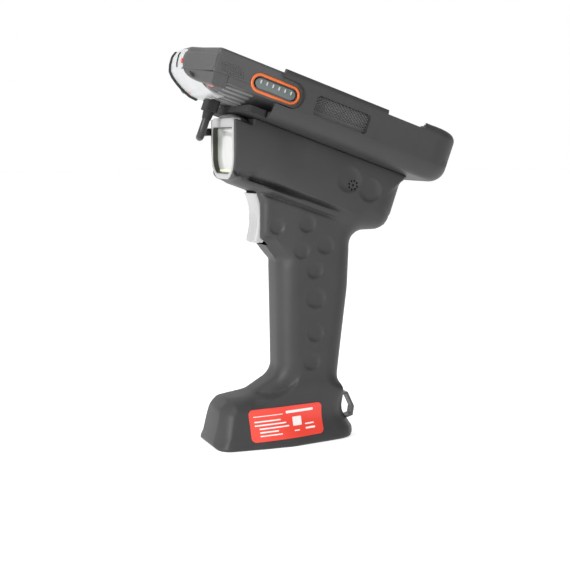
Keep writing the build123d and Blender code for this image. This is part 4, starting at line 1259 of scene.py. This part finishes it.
# ------------------------------------------------------------------ stage
@dataclass(frozen=True)
class Studio:
    """Floor, lights and camera."""

    eye: tuple[float, float, float] = (-230.9, -646.1, 163.9)
    aim: tuple[float, float, float] = (4.28, 0.0, 85.5)
    lens: float = 79.6

    def soft_light(self, name: str, place: tuple, aim: tuple, size: float, power: float) -> None:
        """A square area light that points at aim.

        Args:
            name: The light's name.
            place: Its place, in metres.
            aim: What it points at, in metres.
            size: Length of its side, in metres.
            power: Its power, in watts.
        """
        lamp = bpy.data.lights.new(name, "AREA")
        lamp.size, lamp.energy = size, power
        light = bpy.data.objects.new(name, lamp)
        light.location = place
        light.rotation_euler = (Vector(aim) - Vector(place)).to_track_quat("-Z", "Y").to_euler()
        bpy.context.scene.collection.objects.link(light)

    def build(self) -> None:
        """A broad pale floor, a pale sky, soft lights, and the camera.

        The sky is white towards +Y and grey elsewhere: its strength is 0.34 + 0.66 * step(y), and the step
        goes from y = 0.25 to y = 0.75 of the direction looked in.
        """
        scene = bpy.context.scene
        scene.view_settings.view_transform = "Standard"
        world = bpy.data.worlds.new("studio")
        scene.world = world
        world.use_nodes = True
        nodes, links = world.node_tree.nodes, world.node_tree.links
        place = nodes.new("ShaderNodeTexCoord")
        split = nodes.new("ShaderNodeSeparateXYZ")
        step = nodes.new("ShaderNodeMapRange")
        step.interpolation_type = "SMOOTHSTEP"
        for socket, value in (("From Min", 0.25), ("From Max", 0.75), ("To Min", 0.34), ("To Max", 1.0)):
            step.inputs[socket].default_value = value
        links.new(place.outputs["Generated"], split.inputs["Vector"])
        links.new(split.outputs["Y"], step.inputs["Value"])
        links.new(step.outputs["Result"], nodes["Background"].inputs["Strength"])
        nodes["Background"].inputs["Color"].default_value = (1.0, 1.0, 1.0, 1.0)
        mesh = bpy.data.meshes.new("floor")
        mesh.from_pydata([(-6, -6, 0), (6, -6, 0), (6, 6, 0), (-6, 6, 0)], [], [(0, 1, 2, 3)])
        floor = bpy.data.objects.new("floor", mesh)
        scene.collection.objects.link(floor)
        pale = bpy.data.materials.new("pale_floor")
        pale.use_nodes = True
        shader = pale.node_tree.nodes["Principled BSDF"]
        shader.inputs["Base Color"].default_value = (0.75, 0.75, 0.75, 1.0)
        shader.inputs["Roughness"].default_value = 0.7
        shader.inputs["Emission Color"].default_value = (1.0, 1.0, 1.0, 1.0)
        shader.inputs["Emission Strength"].default_value = 0.6
        mesh.materials.append(pale)
        middle = (0.0, 0.0, 0.11)
        self.soft_light("left", (-1.15, -0.45, 0.42), middle, 0.7, 15.0)
        self.soft_light("overhead", (-0.25, -0.1, 1.4), middle, 1.2, 9.0)
        self.soft_light("front", (0.25, -1.3, 0.45), middle, 0.8, 3.0)
        camera = bpy.data.objects.new("camera", bpy.data.cameras.new("camera"))
        camera.data.lens, camera.data.sensor_width = self.lens, 36.0
        camera.location = Vector(self.eye) * MM
        camera.rotation_euler = (Vector(self.aim) - Vector(self.eye)).to_track_quat("-Z", "Y").to_euler()
        scene.collection.objects.link(camera)
        scene.camera = camera


def main() -> None:
    """Builds the stage, the lead, then each sub-assembly, and reports every piece."""
    logging.basicConfig(level=logging.INFO, format="%(name)s %(message)s")
    Studio().build()
    dress_nodes()
    Lead().build()
    pistol = Pistol()
    pistol.build()
    FootLabel(pistol).build()
    ScannerFace().build()
    Trigger().build()
    for side, sign in (("left", -1.0), ("right", 1.0)):
        SideKey(side, sign).build()
        GripPanel(side, sign).build()
    Nose().build()
    RoofCap().build()


if __name__ == "__main__":
    main()
